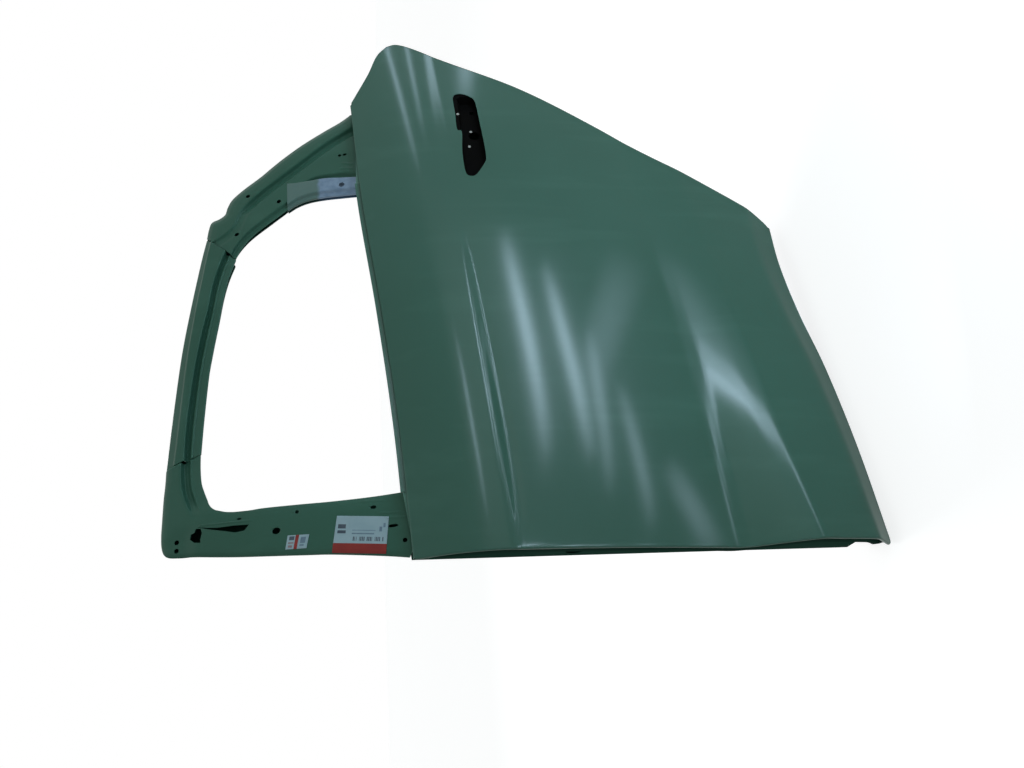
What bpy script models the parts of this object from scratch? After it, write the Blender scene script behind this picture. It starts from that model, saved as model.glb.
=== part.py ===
# Rear left car door shell: hemmed outer skin, inner pan, and a welded window frame.
# Metres. +X runs to the rear of the car, +Y into the cabin, +Z up. Sizes below are measured from
# the belt datum, the front upper corner of the skin, and the datum empty puts the face that
# takes the upper hinge at the origin.

import math

import bmesh
import bpy
from mathutils import Matrix, Vector

# Sheet metal
SKIN_T = 0.0008
PANEL_T = 0.0008
FRAME_T = 0.0010
BRACKET_T = 0.0012
SEAT_GAP = 0.0004

# Skin outline
BELT_LENGTH = 0.945
BELT_RISE = 0.0860
BELT_INSET = 0.014
TAIL_X = 1.0985
TAIL_Z = 0.010
BOTTOM_LENGTH = 0.620
DOOR_HEIGHT = 0.7215
BOTTOM_SWEEP = 0.0285
BELT_RISE_shares = ((0, 0), (0.22, 0.15), (0.46, 0.41), (0.73, 0.765), (1, 1))
TAIL_FALL_shares = ((0, 0), (0.50, 0.49), (0.86, 0.76), (1, 1))
BOTTOM_SWEEP_shares = ((0, 0), (0.26, 0.035), (0.50, 0.33), (0.69, 0.82), (0.86, 1.0), (1, 0.82))
REAR_EDGE_shares = (
    (0, 0), (0.026, -0.008), (0.07, 0.022), (0.198, 0.14), (0.374, 0.295),
    (0.567, 0.508), (0.704, 0.668), (0.839, 0.812), (0.957, 0.942), (1, 1),
)

# Body side section: how far each line lies below the belt datum and outboard of it
SHOULDER_DROP = 0.146
SHOULDER_REACH = 0.036
SHOULDER_REAR_DROP = 0.080
SHOULDER_REAR_REACH = 0.014
SHOULDER_BULGE = 0.010
UNDERCUT_WIDTH = 0.021
UNDERCUT_EDGE = 0.003
UNDERCUT_DEPTH = 0.007
UNDERCUT_LENGTH = 0.600
UNDERCUT_skew_share = 0.6
UNDERCUT_floor_share = 0.45
UNDERCUT_foot_share = 0.75
WAIST_BULGE = 0.005
UPPER_CREASE_DROP = 0.480
UPPER_CREASE_REACH = 0.012
UPPER_CREASE_REAR_DROP = 0.430
UPPER_CREASE_REAR_REACH = 0.016
FLANK_START_DROP = 0.500
FLANK_START_REAR_DROP = 0.455
FLANK_END_DROP = 0.560
FLANK_END_REAR_DROP = 0.500
LOWER_CREASE_DROP = 0.594
LOWER_CREASE_REAR_DROP = 0.510
FLARE_REACH = 0.034
FLARE_LENGTH = 0.560
FLARE_flank_share = 0.72
SILL_HEIGHT = 0.040
SILL_ROW_share = 0.5
SILL_REACH = 0.036
SILL_REAR_REACH = 0.004
BOTTOM_TUCK = 0.002
BOTTOM_REAR_TUCK = 0.010
SIDE_CROWN = 0.006
BELT_ROW_shares = (0.25, 0.50, 0.62, 0.80)
WAIST_ROW_shares = (0.25, 0.50, 0.75)
BODY_COLUMNS = 9
TAIL_COLUMNS = 3

# Hem and belt edge of the skin
HEM_SEAT = 0.010
HEM_GAP = 0.0006
HEM_RETURN = 0.0075
BELT_LIP = 0.006
BELT_LIP_RISE = 0.0004
BELT_FLANGE = 0.009

# Inner panel
PAN_DEPTH = 0.084
FLANGE_JOG = 0.004
FLANGE_JOG_INSET = 0.016
FRONT_WALL_INSET = 0.022
WALL_DRAFT = 0.001
WALL_BEND = 0.008
REAR_WALL_INSET = 0.026
PAN_BELT_DROP = 0.003
PAN_BELT_LIP = 0.006
PAN_PLATEAU = 0.008
PLATEAU_EDGE_shares = (0.05, 0.085, 0.895, 0.925)
PLATEAU_ROWS = (2, 14)
PAN_COLUMN_share = 0.96

# Window frame
FRAME_LENGTH = 0.950
FRAME_HEIGHT = 0.406
FRAME_SETBACK = 0.022
FRAME_LEAN = 0.28
FRAME_RADIUS = 3.18
LIP_DEPTH = 0.010
LIP_WIDTH = 0.012
LIP_STEP = 0.003
LIP_SHELF = 0.007
SHELF_DEPTH = 0.006
EDGE_FLANGE = 0.012
EDGE_FLANGE_DEPTH = 0.006
EDGE_STEP = 0.004
INNER_FRAME_DEPTH = 0.0335
RUN_DEPTH = 0.019
JOINT_GAP = 0.0010
TONGUE_DROP = 0.100
FRONT_RUN_DROP = 0.420
REAR_RUN_DROP = 0.345
HEADER_FOLD = 0.003
GROOVE_WIDTH = 0.014
GROOVE_DEPTH = 0.009
GROOVE_SLOPE = 0.004
TRIANGLE_DEPTH = 0.003
DIVISION_WIDTH = 0.036
DIVISION_FACE_DEPTH = 0.004

# Stations of the frame: where its outer edge and its window edge lie, along and up
FRONT_STATION_shares = (
    ((0.0105, 0.010), (0.1173, 0.026)), ((0.0194, 0.095), (0.1184, 0.111)),
    ((0.0315, 0.287), (0.1226, 0.296)), ((0.0391, 0.447), (0.1279, 0.456)),
    ((0.0472, 0.635), (0.1298, 0.616)), ((0.0547, 0.764), (0.1321, 0.702)),
    ((0.0589, 0.852), (0.1363, 0.746)), ((0.0624, 0.925), (0.1445, 0.785)),
    ((0.0724, 0.970), (0.1553, 0.807)), ((0.0916, 0.992), (0.1696, 0.824)),
    ((0.1424, 0.997), (0.1868, 0.839)), ((0.1895, 0.999), (0.2058, 0.849)),
    ((0.2274, 1.000), (0.2505, 0.858)),
)
HEADER_STATION_shares = (
    ((0.2274, 1.000), (0.2505, 0.858)), ((0.3254, 0.999), (0.3210, 0.857)),
    ((0.4413, 0.985), (0.4158, 0.855)), ((0.5105, 0.976), (0.4800, 0.845)),
    ((0.5487, 0.970), (0.5242, 0.819)), ((0.6426, 0.950), (0.5988, 0.803)),
    ((0.6968, 0.935), (0.6421, 0.782)), ((0.7405, 0.919), (0.6737, 0.755)),
)
REAR_STATION_shares = (
    ((0.7405, 0.919), (0.6737, 0.755)), ((0.7823, 0.901), (0.6898, 0.736)),
    ((0.7842, 0.855), (0.7053, 0.709)), ((0.7942, 0.826), (0.7188, 0.681)),
    ((0.8261, 0.811), (0.7326, 0.640)), ((0.8609, 0.697), (0.7516, 0.581)),
    ((0.8968, 0.584), (0.7709, 0.520)),
)
REAR_FOOT_STATION_shares = (
    ((0.9362, 0.263), 0.310), ((0.9725, 0.125), 0.147), ((0.9859, 0.062), 0.086),
    ((0.9989, 0.006), 0.026),
)
REAR_GROOVE_shares = (0.60, 0.60, 0.60, 0.60, 0.60, 0.57, 0.59, 0.57, 0.62, 0.66, 0.70, 0.72, 0.72)
REAR_CORNER_STATIONS = 7
DIVISION_STATION_shares = ((0.7874, 0.488), (0.7841, 0.370), (0.7789, 0.229), (0.7763, 0.176))

# Belt reinforcements
OUTER_BELT_HAT_DROP = 0.014
OUTER_BELT_HAT_HEIGHT = 0.026
OUTER_BELT_FOOT = 0.014
OUTER_BELT_BOND = 0.0020
BELT_SLOPE_HEIGHT = 0.008
INNER_BELT_TOP = 0.014
INNER_BELT_FOOT = 0.009
INNER_BELT_HAT_HEIGHT = 0.028
BELT_STATIONS = 9

# Hinge, check strap and latch seats
HINGE_Y = 0.040
UPPER_HINGE_DROP = 0.165
LOWER_HINGE_DROP = 0.500
HINGE_BOLT_SPACING = 0.044
HINGE_PLATE_WIDTH = 0.062
HINGE_PLATE_HEIGHT = 0.082
HINGE_PLATE_T = 0.0025
BOLT_HOLE_D = 0.0095
WELD_NUT_D = 0.016
WELD_NUT_BORE = 0.0070
WELD_NUT_HEIGHT = 0.007
CHECK_DROP = 0.385
CHECK_PLATE_SIZE = 0.058
CHECK_SLOT_WIDTH = 0.022
CHECK_SLOT_HEIGHT = 0.030
HARNESS_HOLE_D = 0.030
HARNESS_DROP = 0.250
HARNESS_Y = 0.052
LATCH_DROP = 0.120
LATCH_Y = 0.036
LATCH_PLATE_WIDTH = 0.066
LATCH_PLATE_HEIGHT = 0.096
LATCH_PLATE_T = 0.0015
LATCH_SLOT_WIDTH = 0.026
LATCH_SLOT_HEIGHT = 0.036
LATCH_BOLT_D = 0.0075
LATCH_BOLT_SPACING = 0.066

# Side impact beam
BEAM_D = 0.030
BEAM_WALL = 0.0024
BEAM_FRONT_DROP = 0.290
BEAM_REAR_DROP = 0.395
BEAM_SKIN_GAP = 0.0055
BEAM_END_GAP = 0.016
BEAM_BRACKET_LENGTH = 0.085
BEAM_BRACKET_HEIGHT = 0.066
BEAM_BRACKET_FOOT = 0.026
PAD_LENGTH = 0.050
PAD_HEIGHT = 0.012
PAD_PLACE_shares = (0.24, 0.50, 0.76)

# Outer handle opening and the bracket behind it
SLOT_REAR_X = 0.9455
SLOT_LENGTH = 0.229
SLOT_TOP_DROP = 0.118
SLOT_HEIGHT = 0.0515
SLOT_OUTLINE_shares = (
    (0.04, 0.00), (0.24, 0.02), (0.445, 0.03), (0.48, 0.20), (0.70, 0.14), (0.81, 0.14),
    (0.935, 0.17), (0.985, 0.24), (1.00, 0.40), (0.985, 0.55), (0.93, 0.72), (0.84, 0.94),
    (0.78, 1.00), (0.63, 0.985), (0.39, 0.925), (0.11, 0.835), (0.035, 0.63), (0.00, 0.29),
)
HANDLE_BRACKET_RIM = 0.014
HANDLE_BRACKET_MARGIN = 0.022
HANDLE_BRACKET_DEPTH = 0.014
HANDLE_BRACKET_BOND = 0.0008
HANDLE_STUD_HOLE_D = 0.009
HANDLE_LOCK_HOLE_D = 0.022
HANDLE_HOLE_SEGMENTS = 12
HANDLE_STUD_shares = (0.16, 0.84)
HANDLE_LOCK_share = 0.42

# Holes of the inner panel, as shares of its length and height from the belt datum
REGULATOR_HOLE_SIZE = (0.330, 0.200)
REGULATOR_HOLE_shares = (0.40, 0.36)
SPEAKER_HOLE_D = 0.150
SPEAKER_HOLE_shares = (0.185, 0.76)
LATCH_ACCESS_SIZE = (0.100, 0.105)
LATCH_ACCESS_shares = (0.693, 0.34)
LOWER_ACCESS_SIZE = (0.140, 0.090)
LOWER_ACCESS_shares = (0.455, 0.76)
CLIP_HOLE_D = 0.009
CLIP_HOLE_shares = (
    (0.06, 0.20), (0.06, 0.52), (0.06, 0.88), (0.28, 0.90), (0.50, 0.89), (0.66, 0.62),
    (0.80, 0.20), (0.62, 0.15), (0.20, 0.13), (0.30, 0.60), (0.56, 0.57),
)
DRAIN_HOLE_SIZE = (0.022, 0.009)
DRAIN_HOLE_shares = (0.12, 0.46)

# Holes of the window frame, as shares of its length and height
FRONT_ROUND_HOLE_D = 0.0075
FRONT_ROUND_HOLE_shares = (
    (0.0876, 0.915), (0.0734, 0.911), (0.1122, 0.663), (0.0975, 0.139), (0.0500, 0.012),
)
FRONT_OVAL_SIZE = (0.017, 0.022)
FRONT_OVAL_shares = (0.0811, 0.507)
FRONT_LONG_SLOT_SIZE = (0.007, 0.074)
FRONT_LONG_SLOT_shares = (0.1005, 0.730)
FRONT_CORNER_HOLE_SIZE = (0.010, 0.020)
FRONT_CORNER_HOLE_shares = (0.0930, 0.858)
FRONT_BELT_SLOT_SIZE = (0.006, 0.016)
FRONT_BELT_SLOT_shares = (0.0612, 0.064)
REAR_ROUND_HOLE_D = 0.008
REAR_ROUND_HOLE_shares = (
    (0.8216, 0.718), (0.7254, 0.762), (0.8765, 0.268), (0.8845, 0.243), (0.8924, 0.196),
)
DIVISION_HOLE_SIZE = 0.008
DIVISION_HOLE_shares = (0.805, 0.258)

# Glass run brackets
RUN_BRACKET_WIDTH = 0.026
RUN_BRACKET_FOOT = 0.024
RUN_BRACKET_RISE = 0.030

# Tessellation
NORMAL_STEP = 0.002
CUT_OVERRUN = 0.006
REACH_ALL = 0.300
HOLE_SEGMENTS = 8
LARGE_HOLE_SEGMENTS = 20
ROUND_SEGMENTS = 14
PLATE_SEGMENTS = 12
NUT_SEGMENTS = 12
SLOT_SEGMENTS = 12
SMOOTH_ANGLE = math.radians(32)

# How square an outline is: 2 is an ellipse, and more is squarer
ROUND_OUTLINE = 2.0
SQUARED_OUTLINE = 4.0
ACCESS_OUTLINE = 5.0
PLATE_OUTLINE = 6.0


def lerp(first, last, share):
    return first + (last - first) * share


def on_table(table, share):
    """Height of a smooth curve through a table of (place, height) shares."""
    share = min(max(share, table[0][0]), table[-1][0])
    last = len(table) - 1
    k = max(i for i in range(last) if table[i][0] <= share)
    (x0, y0), (x1, y1) = table[k], table[k + 1]

    def slope(i):
        before, after = table[max(i - 1, 0)], table[min(i + 1, last)]
        return (after[1] - before[1]) / (after[0] - before[0])

    t = (share - x0) / (x1 - x0)
    rise = (x1 - x0) * (slope(k) * (t - 2 * t**2 + t**3) + slope(k + 1) * (t**3 - t**2))
    return y0 + (y1 - y0) * (3 * t**2 - 2 * t**3) + rise


# Lines of the body side, each a height as a function of the distance from the front edge


def belt_line(x):
    if x > BELT_LENGTH:
        return BELT_RISE * x / BELT_LENGTH
    return BELT_RISE * on_table(BELT_RISE_shares, x / BELT_LENGTH)


def top_line(x):
    if x <= BELT_LENGTH:
        return belt_line(x)
    share = on_table(TAIL_FALL_shares, (x - BELT_LENGTH) / (TAIL_X - BELT_LENGTH))
    return lerp(BELT_RISE, TAIL_Z, share)


def bottom_line(x):
    return -DOOR_HEIGHT + BOTTOM_SWEEP * on_table(BOTTOM_SWEEP_shares, x / BOTTOM_LENGTH)


def falling(front_drop, rear_drop):
    return lambda x: lerp(-front_drop, -rear_drop, x / TAIL_X)


def shifted(line, rise):
    return lambda x: line(x) + rise


def between(upper, lower, share):
    return lambda x: lerp(upper(x), lower(x), share)


def undercut_swell(x):
    """0 where the shoulder undercut starts and ends, 1 where it is widest."""
    share = min(max(x / UNDERCUT_LENGTH, 0), 1)
    return math.sin(math.pi * share**UNDERCUT_skew_share)


shoulder_line = falling(SHOULDER_DROP, SHOULDER_REAR_DROP)
upper_crease_line = falling(UPPER_CREASE_DROP, UPPER_CREASE_REAR_DROP)
flank_start_line = falling(FLANK_START_DROP, FLANK_START_REAR_DROP)
flank_end_line = falling(FLANK_END_DROP, FLANK_END_REAR_DROP)
lower_crease_line = falling(LOWER_CREASE_DROP, LOWER_CREASE_REAR_DROP)
sill_line = shifted(bottom_line, SILL_HEIGHT)


def undercut_foot_line(x):
    return shoulder_line(x) - UNDERCUT_EDGE - UNDERCUT_WIDTH * undercut_swell(x)


undercut_floor_line = between(shoulder_line, undercut_foot_line, UNDERCUT_floor_share)


def belt_y(x):
    return BELT_INSET * x / BELT_LENGTH


def side_section(x):
    """The section at x: (height, y, bulge towards the next line) from the belt down."""
    along = x / TAIL_X
    shoulder_y = -lerp(SHOULDER_REACH, SHOULDER_REAR_REACH, along)
    undercut = UNDERCUT_DEPTH * undercut_swell(x)
    crease_y = -lerp(UPPER_CREASE_REACH, UPPER_CREASE_REAR_REACH, along)
    fade = max(1 - x / FLARE_LENGTH, 0)
    along_bottom = min(x / BOTTOM_LENGTH, 1)
    return (
        (belt_line(x), belt_y(x), SHOULDER_BULGE),
        (shoulder_line(x), shoulder_y, 0),
        (undercut_floor_line(x), shoulder_y + undercut, 0),
        (undercut_foot_line(x), shoulder_y + undercut * UNDERCUT_foot_share, WAIST_BULGE),
        (upper_crease_line(x), crease_y, 0),
        (flank_start_line(x), crease_y - fade * UNDERCUT_EDGE, 0),
        (flank_end_line(x), crease_y - fade * FLARE_REACH * FLARE_flank_share, 0),
        (lower_crease_line(x), crease_y - fade * FLARE_REACH, 0),
        (sill_line(x), -lerp(SILL_REACH, SILL_REAR_REACH, along_bottom), 0),
        (bottom_line(x), lerp(BOTTOM_TUCK, BOTTOM_REAR_TUCK, along_bottom), 0),
    )


def skin_y(x, z):
    """Outer face of the body side."""
    section = side_section(x)
    k = 0
    while k < len(section) - 2 and z < section[k + 1][0]:
        k += 1
    (high, y_high, bulge), (low, y_low, _) = section[k], section[k + 1]
    share = (high - z) / (high - low)
    crown = SIDE_CROWN * math.sin(math.pi * min(x / TAIL_X, 1))
    arch = max(share * (1 - share), 0)
    return lerp(y_high, y_low, share) - 4 * bulge * arch - crown


def inboard_normal(x, z):
    slope_x = (skin_y(x + NORMAL_STEP, z) - skin_y(x - NORMAL_STEP, z)) / (2 * NORMAL_STEP)
    slope_z = (skin_y(x, z + NORMAL_STEP) - skin_y(x, z - NORMAL_STEP)) / (2 * NORMAL_STEP)
    return Vector((-slope_x, 1, -slope_z)).normalized()


def skin_point(x, z, inboard=0.0):
    return Vector((x, skin_y(x, z), z)) + inboard_normal(x, z) * inboard


# Plan of the body side: rows are lines, columns are stations along each row


def rear_edge(share):
    x = lerp(TAIL_X, BOTTOM_LENGTH, on_table(REAR_EDGE_shares, share))
    return x, lerp(TAIL_Z, bottom_line(BOTTOM_LENGTH), share)


def row_end(line):
    """Distance along a line at which it meets the rear edge."""
    low, high = 0.0, 1.0
    for _ in range(40):
        middle = (low + high) / 2
        x, z = rear_edge(middle)
        if z > line(min(x, TAIL_X)):
            low = middle
        else:
            high = middle
    return rear_edge(low)[0]


def rear_slant():
    drop = TAIL_Z - bottom_line(BOTTOM_LENGTH)
    return math.hypot(TAIL_X - BOTTOM_LENGTH, drop) / drop


hem_line = shifted(top_line, -HEM_SEAT)
BELT_LINES = [between(hem_line, shoulder_line, share) for share in BELT_ROW_shares]
WAIST_LINES = [between(undercut_foot_line, upper_crease_line, share) for share in WAIST_ROW_shares]
BODY_LINES = BELT_LINES + [shoulder_line, undercut_floor_line, undercut_foot_line]
BODY_LINES += WAIST_LINES + [upper_crease_line, flank_start_line, flank_end_line]
BODY_LINES += [lower_crease_line, between(lower_crease_line, sill_line, SILL_ROW_share), sill_line]
HEAD_LINES = [top_line, hem_line, shifted(top_line, -FLANGE_JOG_INSET)]
FOOT_LINES = [shifted(bottom_line, inset) for inset in (FRONT_WALL_INSET, HEM_SEAT, 0)]
SKIN_LINES = HEAD_LINES + BODY_LINES + FOOT_LINES


def corner_set_back(angle):
    """How far a rounded corner's middle lies inside the sharp one, per metre of its tangent."""
    return (1 - math.sin(angle / 2)) / math.cos(angle / 2)


FRONT_CORNER = corner_set_back(math.radians(90)) / math.sqrt(2)
REAR_CORNER = corner_set_back(math.radians(127))


def plan_point(line, x, edge):
    """(x, z) on a line, with the bottom corners rounded off."""
    z = line(x)
    if line is FOOT_LINES[-1] and edge == "front":
        return x + HEM_SEAT * FRONT_CORNER, z + HEM_SEAT * FRONT_CORNER
    if line is FOOT_LINES[-1] and edge == "rear":
        return x, z + HEM_SEAT * REAR_CORNER
    return x, z


# Building blocks


def clear_scene():
    for obj in list(bpy.data.objects):
        bpy.data.objects.remove(obj, do_unlink=True)


def new_collection(name, hidden=False):
    collection = bpy.data.collections.new(name)
    bpy.context.scene.collection.children.link(collection)
    collection.hide_render = hidden
    return collection


def metal(name, colour, roughness, metallic):
    material = bpy.data.materials.new(name)
    material.use_nodes = True
    shader = material.node_tree.nodes["Principled BSDF"]
    shader.inputs["Base Color"].default_value = (*colour, 1)
    shader.inputs["Roughness"].default_value = roughness
    shader.inputs["Metallic"].default_value = metallic
    material.diffuse_color = (*colour, 1)
    return material


def add_object(name, mesh, material):
    obj = bpy.data.objects.new(name, mesh)
    obj.parent = DATUM
    mesh.materials.append(material)
    DOOR.objects.link(obj)
    for face in mesh.polygons:
        face.use_smooth = True
    mesh.set_sharp_from_angle(angle=SMOOTH_ANGLE)
    return obj


def add_cutter(name, mesh):
    obj = bpy.data.objects.new(name, mesh)
    obj.parent = DATUM
    obj.hide_render = True
    obj.display_type = "WIRE"
    CUTTERS.objects.link(obj)
    return obj


def cut(obj, cutter):
    boolean = obj.modifiers.new("cut", "BOOLEAN")
    boolean.operation = "DIFFERENCE"
    boolean.solver = "EXACT"
    boolean.object = cutter


def grid_mesh(columns, rows, place):
    """A sheet of columns by rows points, each put where place(column, row) says."""
    mesh = bmesh.new()
    bmesh.ops.create_grid(mesh, x_segments=columns - 1, y_segments=rows - 1, size=0.5)
    index = {}
    for vertex in mesh.verts:
        i = round((vertex.co.x + 0.5) * (columns - 1))
        j = round((0.5 - vertex.co.y) * (rows - 1))
        index[i, j] = vertex
    for (i, j), vertex in index.items():
        vertex.co = place(i, j)
    return mesh, index


def finish_sheet(name, mesh, towards, thickness, material):
    """Gives a sheet its thickness behind the side that faces towards a direction."""
    mesh.normal_update()
    face = max(mesh.faces, key=lambda f: f.calc_area())
    if face.normal.dot(towards) < 0:
        bmesh.ops.reverse_faces(mesh, faces=mesh.faces[:])
    data = bpy.data.meshes.new(name)
    mesh.to_mesh(data)
    mesh.free()
    obj = add_object(name, data, material)
    solid = obj.modifiers.new("sheet", "SOLIDIFY")
    solid.thickness = thickness
    solid.offset = -1
    solid.use_even_offset = True
    solid.use_quality_normals = True
    return obj


def grow_edge(mesh, chain, move):
    """Extrudes the edges along a chain of vertices and puts each new vertex where move says."""
    edges = []
    for first, second in zip(chain, chain[1:]):
        edges.append(next(e for e in first.link_edges if e.other_vert(first) is second))
    made = bmesh.ops.extrude_edge_only(mesh, edges=edges)["geom"]
    new = [item for item in made if isinstance(item, bmesh.types.BMVert)]
    grown = []
    for old in chain:
        copy = min(new, key=lambda v: (v.co - old.co).length_squared)
        new.remove(copy)
        grown.append(copy)
    for k, vertex in enumerate(grown):
        vertex.co = move(k)
    return grown


def prism(mesh, centre, axis, size, depth, segments, squareness=ROUND_OUTLINE):
    """A closed prism along X, Y or Z with a round or squared outline."""
    turn = {
        "X": Matrix.Rotation(math.pi / 2, 4, "Y"),
        "Y": Matrix.Rotation(-math.pi / 2, 4, "X"),
        "Z": Matrix.Identity(4),
    }[axis]
    made = bmesh.ops.create_cone(
        mesh, cap_ends=True, segments=segments, radius1=1, radius2=1, depth=1
    )["verts"]
    for vertex in made:
        angle = math.atan2(vertex.co.y, vertex.co.x)
        angle += math.pi / segments
        reach = abs(math.cos(angle)) ** squareness + abs(math.sin(angle)) ** squareness
        reach = reach ** (-1 / squareness)
        vertex.co.x = math.cos(angle) * reach * size[0] / 2
        vertex.co.y = math.sin(angle) * reach * size[1] / 2
        vertex.co.z *= depth
        vertex.co = Vector(centre) + (turn @ vertex.co)
    return made


def prism_mesh(name, prisms):
    """One mesh of closed prisms. Sizes are along the two axes across each prism."""
    mesh = bmesh.new()
    for args in prisms:
        prism(mesh, *args)
    bmesh.ops.recalc_face_normals(mesh, faces=mesh.faces[:])
    data = bpy.data.meshes.new(name)
    mesh.to_mesh(data)
    mesh.free()
    return data


def hole_y(place, size, segments=HOLE_SEGMENTS, squareness=ROUND_OUTLINE):
    """Cutter right through the door, for a hole at (x, z). Size is (length, height)."""
    x, z = place
    return ((x, 0, z), "Y", size, 2 * REACH_ALL, segments, squareness)


def turned_ring(name, outer_d, bore_d, length, segments, material):
    """A bored cylinder along its own Z, from a profile turned about it."""
    mesh = bmesh.new()
    bmesh.ops.create_grid(mesh, x_segments=1, y_segments=1, size=0.5)
    bmesh.ops.delete(mesh, geom=mesh.faces[:], context="FACES_ONLY")
    for vertex in mesh.verts:
        radius = lerp(bore_d, outer_d, vertex.co.x + 0.5) / 2
        vertex.co = Vector((radius, 0, length * vertex.co.y))
    data = bpy.data.meshes.new(name)
    mesh.to_mesh(data)
    mesh.free()
    obj = add_object(name, data, material)
    screw = obj.modifiers.new("turn", "SCREW")
    screw.angle = 2 * math.pi
    screw.steps = segments
    screw.render_steps = segments
    screw.use_merge_vertices = True
    screw.merge_threshold = 0.00001
    screw.use_normal_calculate = True
    screw.use_normal_flip = True
    return obj


def outline_cutter(name, points, depth, centre_y):
    """A flat outline in the plane of the door, as a closed solid along Y."""
    curve = bpy.data.curves.new(name, "CURVE")
    curve.dimensions = "2D"
    curve.fill_mode = "BOTH"
    curve.extrude = depth / 2
    spline = curve.splines.new("POLY")
    spline.points.add(len(points) - 1)
    for point, (x, z) in zip(spline.points, points):
        point.co = (x, z, 0, 1)
    spline.use_cyclic_u = True
    holder = bpy.data.objects.new(name + "_outline", curve)
    CUTTERS.objects.link(holder)
    holder.rotation_euler = (math.pi / 2, 0, 0)
    holder.location = (0, centre_y, 0)
    bpy.context.view_layer.update()
    graph = bpy.context.evaluated_depsgraph_get()
    data = bpy.data.meshes.new_from_object(holder.evaluated_get(graph))
    mesh = bmesh.new()
    mesh.from_mesh(data)
    bmesh.ops.remove_doubles(mesh, verts=mesh.verts[:], dist=0.00001)
    bmesh.ops.recalc_face_normals(mesh, faces=mesh.faces[:])
    mesh.transform(holder.matrix_world)
    mesh.to_mesh(data)
    mesh.free()
    bpy.data.objects.remove(holder)
    return add_cutter(name, data)


# Outer skin


def skin_stations():
    """Columns of the skin: an inset from its front or rear edge, or a share between them."""
    last = row_end(top_line) - HEM_SEAT * rear_slant()
    kink = (BELT_LENGTH - HEM_SEAT) / (last - HEM_SEAT)
    stations = [("front", 0.0), ("front", HEM_SEAT)]
    stations += [("share", kink * (k + 1) / BODY_COLUMNS) for k in range(BODY_COLUMNS)]
    stations += [("tail", lerp(kink, 1, k / TAIL_COLUMNS)) for k in range(1, TAIL_COLUMNS)]
    return stations + [("rear", inset) for inset in (FLANGE_JOG_INSET, HEM_SEAT, 0.0)]


def station_x(station, end):
    kind, value = station
    if kind == "front":
        return value
    if kind == "rear":
        return end - value * rear_slant()
    return lerp(HEM_SEAT, end - HEM_SEAT * rear_slant(), value)


def edge_name(station):
    return station[0] if station[1] == 0 else ""


def fold_frames(points, normals):
    """Outward direction at each point along an edge, lengthened at the corners."""
    frames = []
    for k, normal in enumerate(normals):
        before = (points[k] - points[max(k - 1, 0)]).normalized()
        after = (points[min(k + 1, len(points) - 1)] - points[k]).normalized()
        if k == 0:
            before = after
        if k == len(points) - 1:
            after = before
        outward = normal.cross(before + after).normalized()
        frames.append(outward / math.sqrt((1 + before.dot(after)) / 2))
    return frames


HEM_RADIUS = (2 * SKIN_T + PANEL_T + 2 * HEM_GAP) / 2


def grow_hem(mesh, chain):
    """Folds the skin's edge back over the flange of the inner panel."""
    points = [vertex.co.copy() for vertex in chain]
    normals = [inboard_normal(p.x, p.z) for p in points]
    outward = fold_frames(points, normals)
    for angle in (math.radians(60), math.radians(120), math.radians(180)):
        out, back = HEM_RADIUS * math.sin(angle), HEM_RADIUS * (1 - math.cos(angle))
        chain = grow_edge(
            mesh, chain, lambda k: points[k] + outward[k] * out + normals[k] * back
        )

    def returned(k):
        inset = points[k] - outward[k] * HEM_RETURN
        return skin_point(inset.x, inset.z, 2 * HEM_RADIUS)

    grow_edge(mesh, chain, returned)


def window_edges():
    """Front and rear of the window opening at the belt."""
    front = FRONT_STATION_shares[0][1][0] * FRAME_LENGTH
    return front, DIVISION_STATION_shares[-1][0] * FRAME_LENGTH


def build_outer_skin(material):
    stations = skin_stations()
    ends = [row_end(line) for line in SKIN_LINES]

    def place(i, j):
        x = station_x(stations[i], ends[j])
        x, z = plan_point(SKIN_LINES[j], x, edge_name(stations[i]))
        return skin_point(x, z)

    last_column, last_row = len(stations) - 1, len(SKIN_LINES) - 1
    mesh, at = grid_mesh(last_column + 1, last_row + 1, place)
    kink = next(i for i in range(last_column) if at[i, 0].co.x > BELT_LENGTH - NORMAL_STEP)
    front = [at[0, j] for j in range(1, last_row)]
    bottom = [at[i, last_row] for i in range(last_column)]
    rear = [at[last_column, j] for j in range(last_row, 0, -1)]
    tail = [at[i, 0] for i in range(last_column, kink, -1)]
    belt = [at[i, 0] for i in range(kink + 1)]
    grow_hem(mesh, front + bottom + rear + tail)
    lip = Vector((0, BELT_LIP, BELT_LIP_RISE))
    belt_points = [vertex.co.copy() for vertex in belt]
    rim = grow_edge(mesh, belt, lambda k: belt_points[k] + lip)
    low, high = window_edges()
    spacing = (BELT_LENGTH - HEM_SEAT) / BODY_COLUMNS
    flange = [v for v in rim if low - spacing / 2 < v.co.x < high]
    flange_points = [vertex.co.copy() for vertex in flange]
    rise = Vector((0, 0, BELT_FLANGE))
    grow_edge(mesh, flange, lambda k: flange_points[k] + rise)
    skin = finish_sheet("outer_skin", mesh, Vector((0, -1, 0)), SKIN_T, material)
    points = [
        (SLOT_REAR_X - a * SLOT_LENGTH, -SLOT_TOP_DROP - b * SLOT_HEIGHT)
        for a, b in SLOT_OUTLINE_shares
    ]
    cutter = outline_cutter("handle_slot", points, 2 * SHOULDER_REACH, -SHOULDER_REACH / 2)
    cut(skin, cutter)


# Inner panel


def pan_y(x):
    return PAN_DEPTH + belt_y(x)


def rear_wall_x(end):
    return min(FRAME_LENGTH + SEAT_GAP, end - REAR_WALL_INSET * rear_slant())


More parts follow.
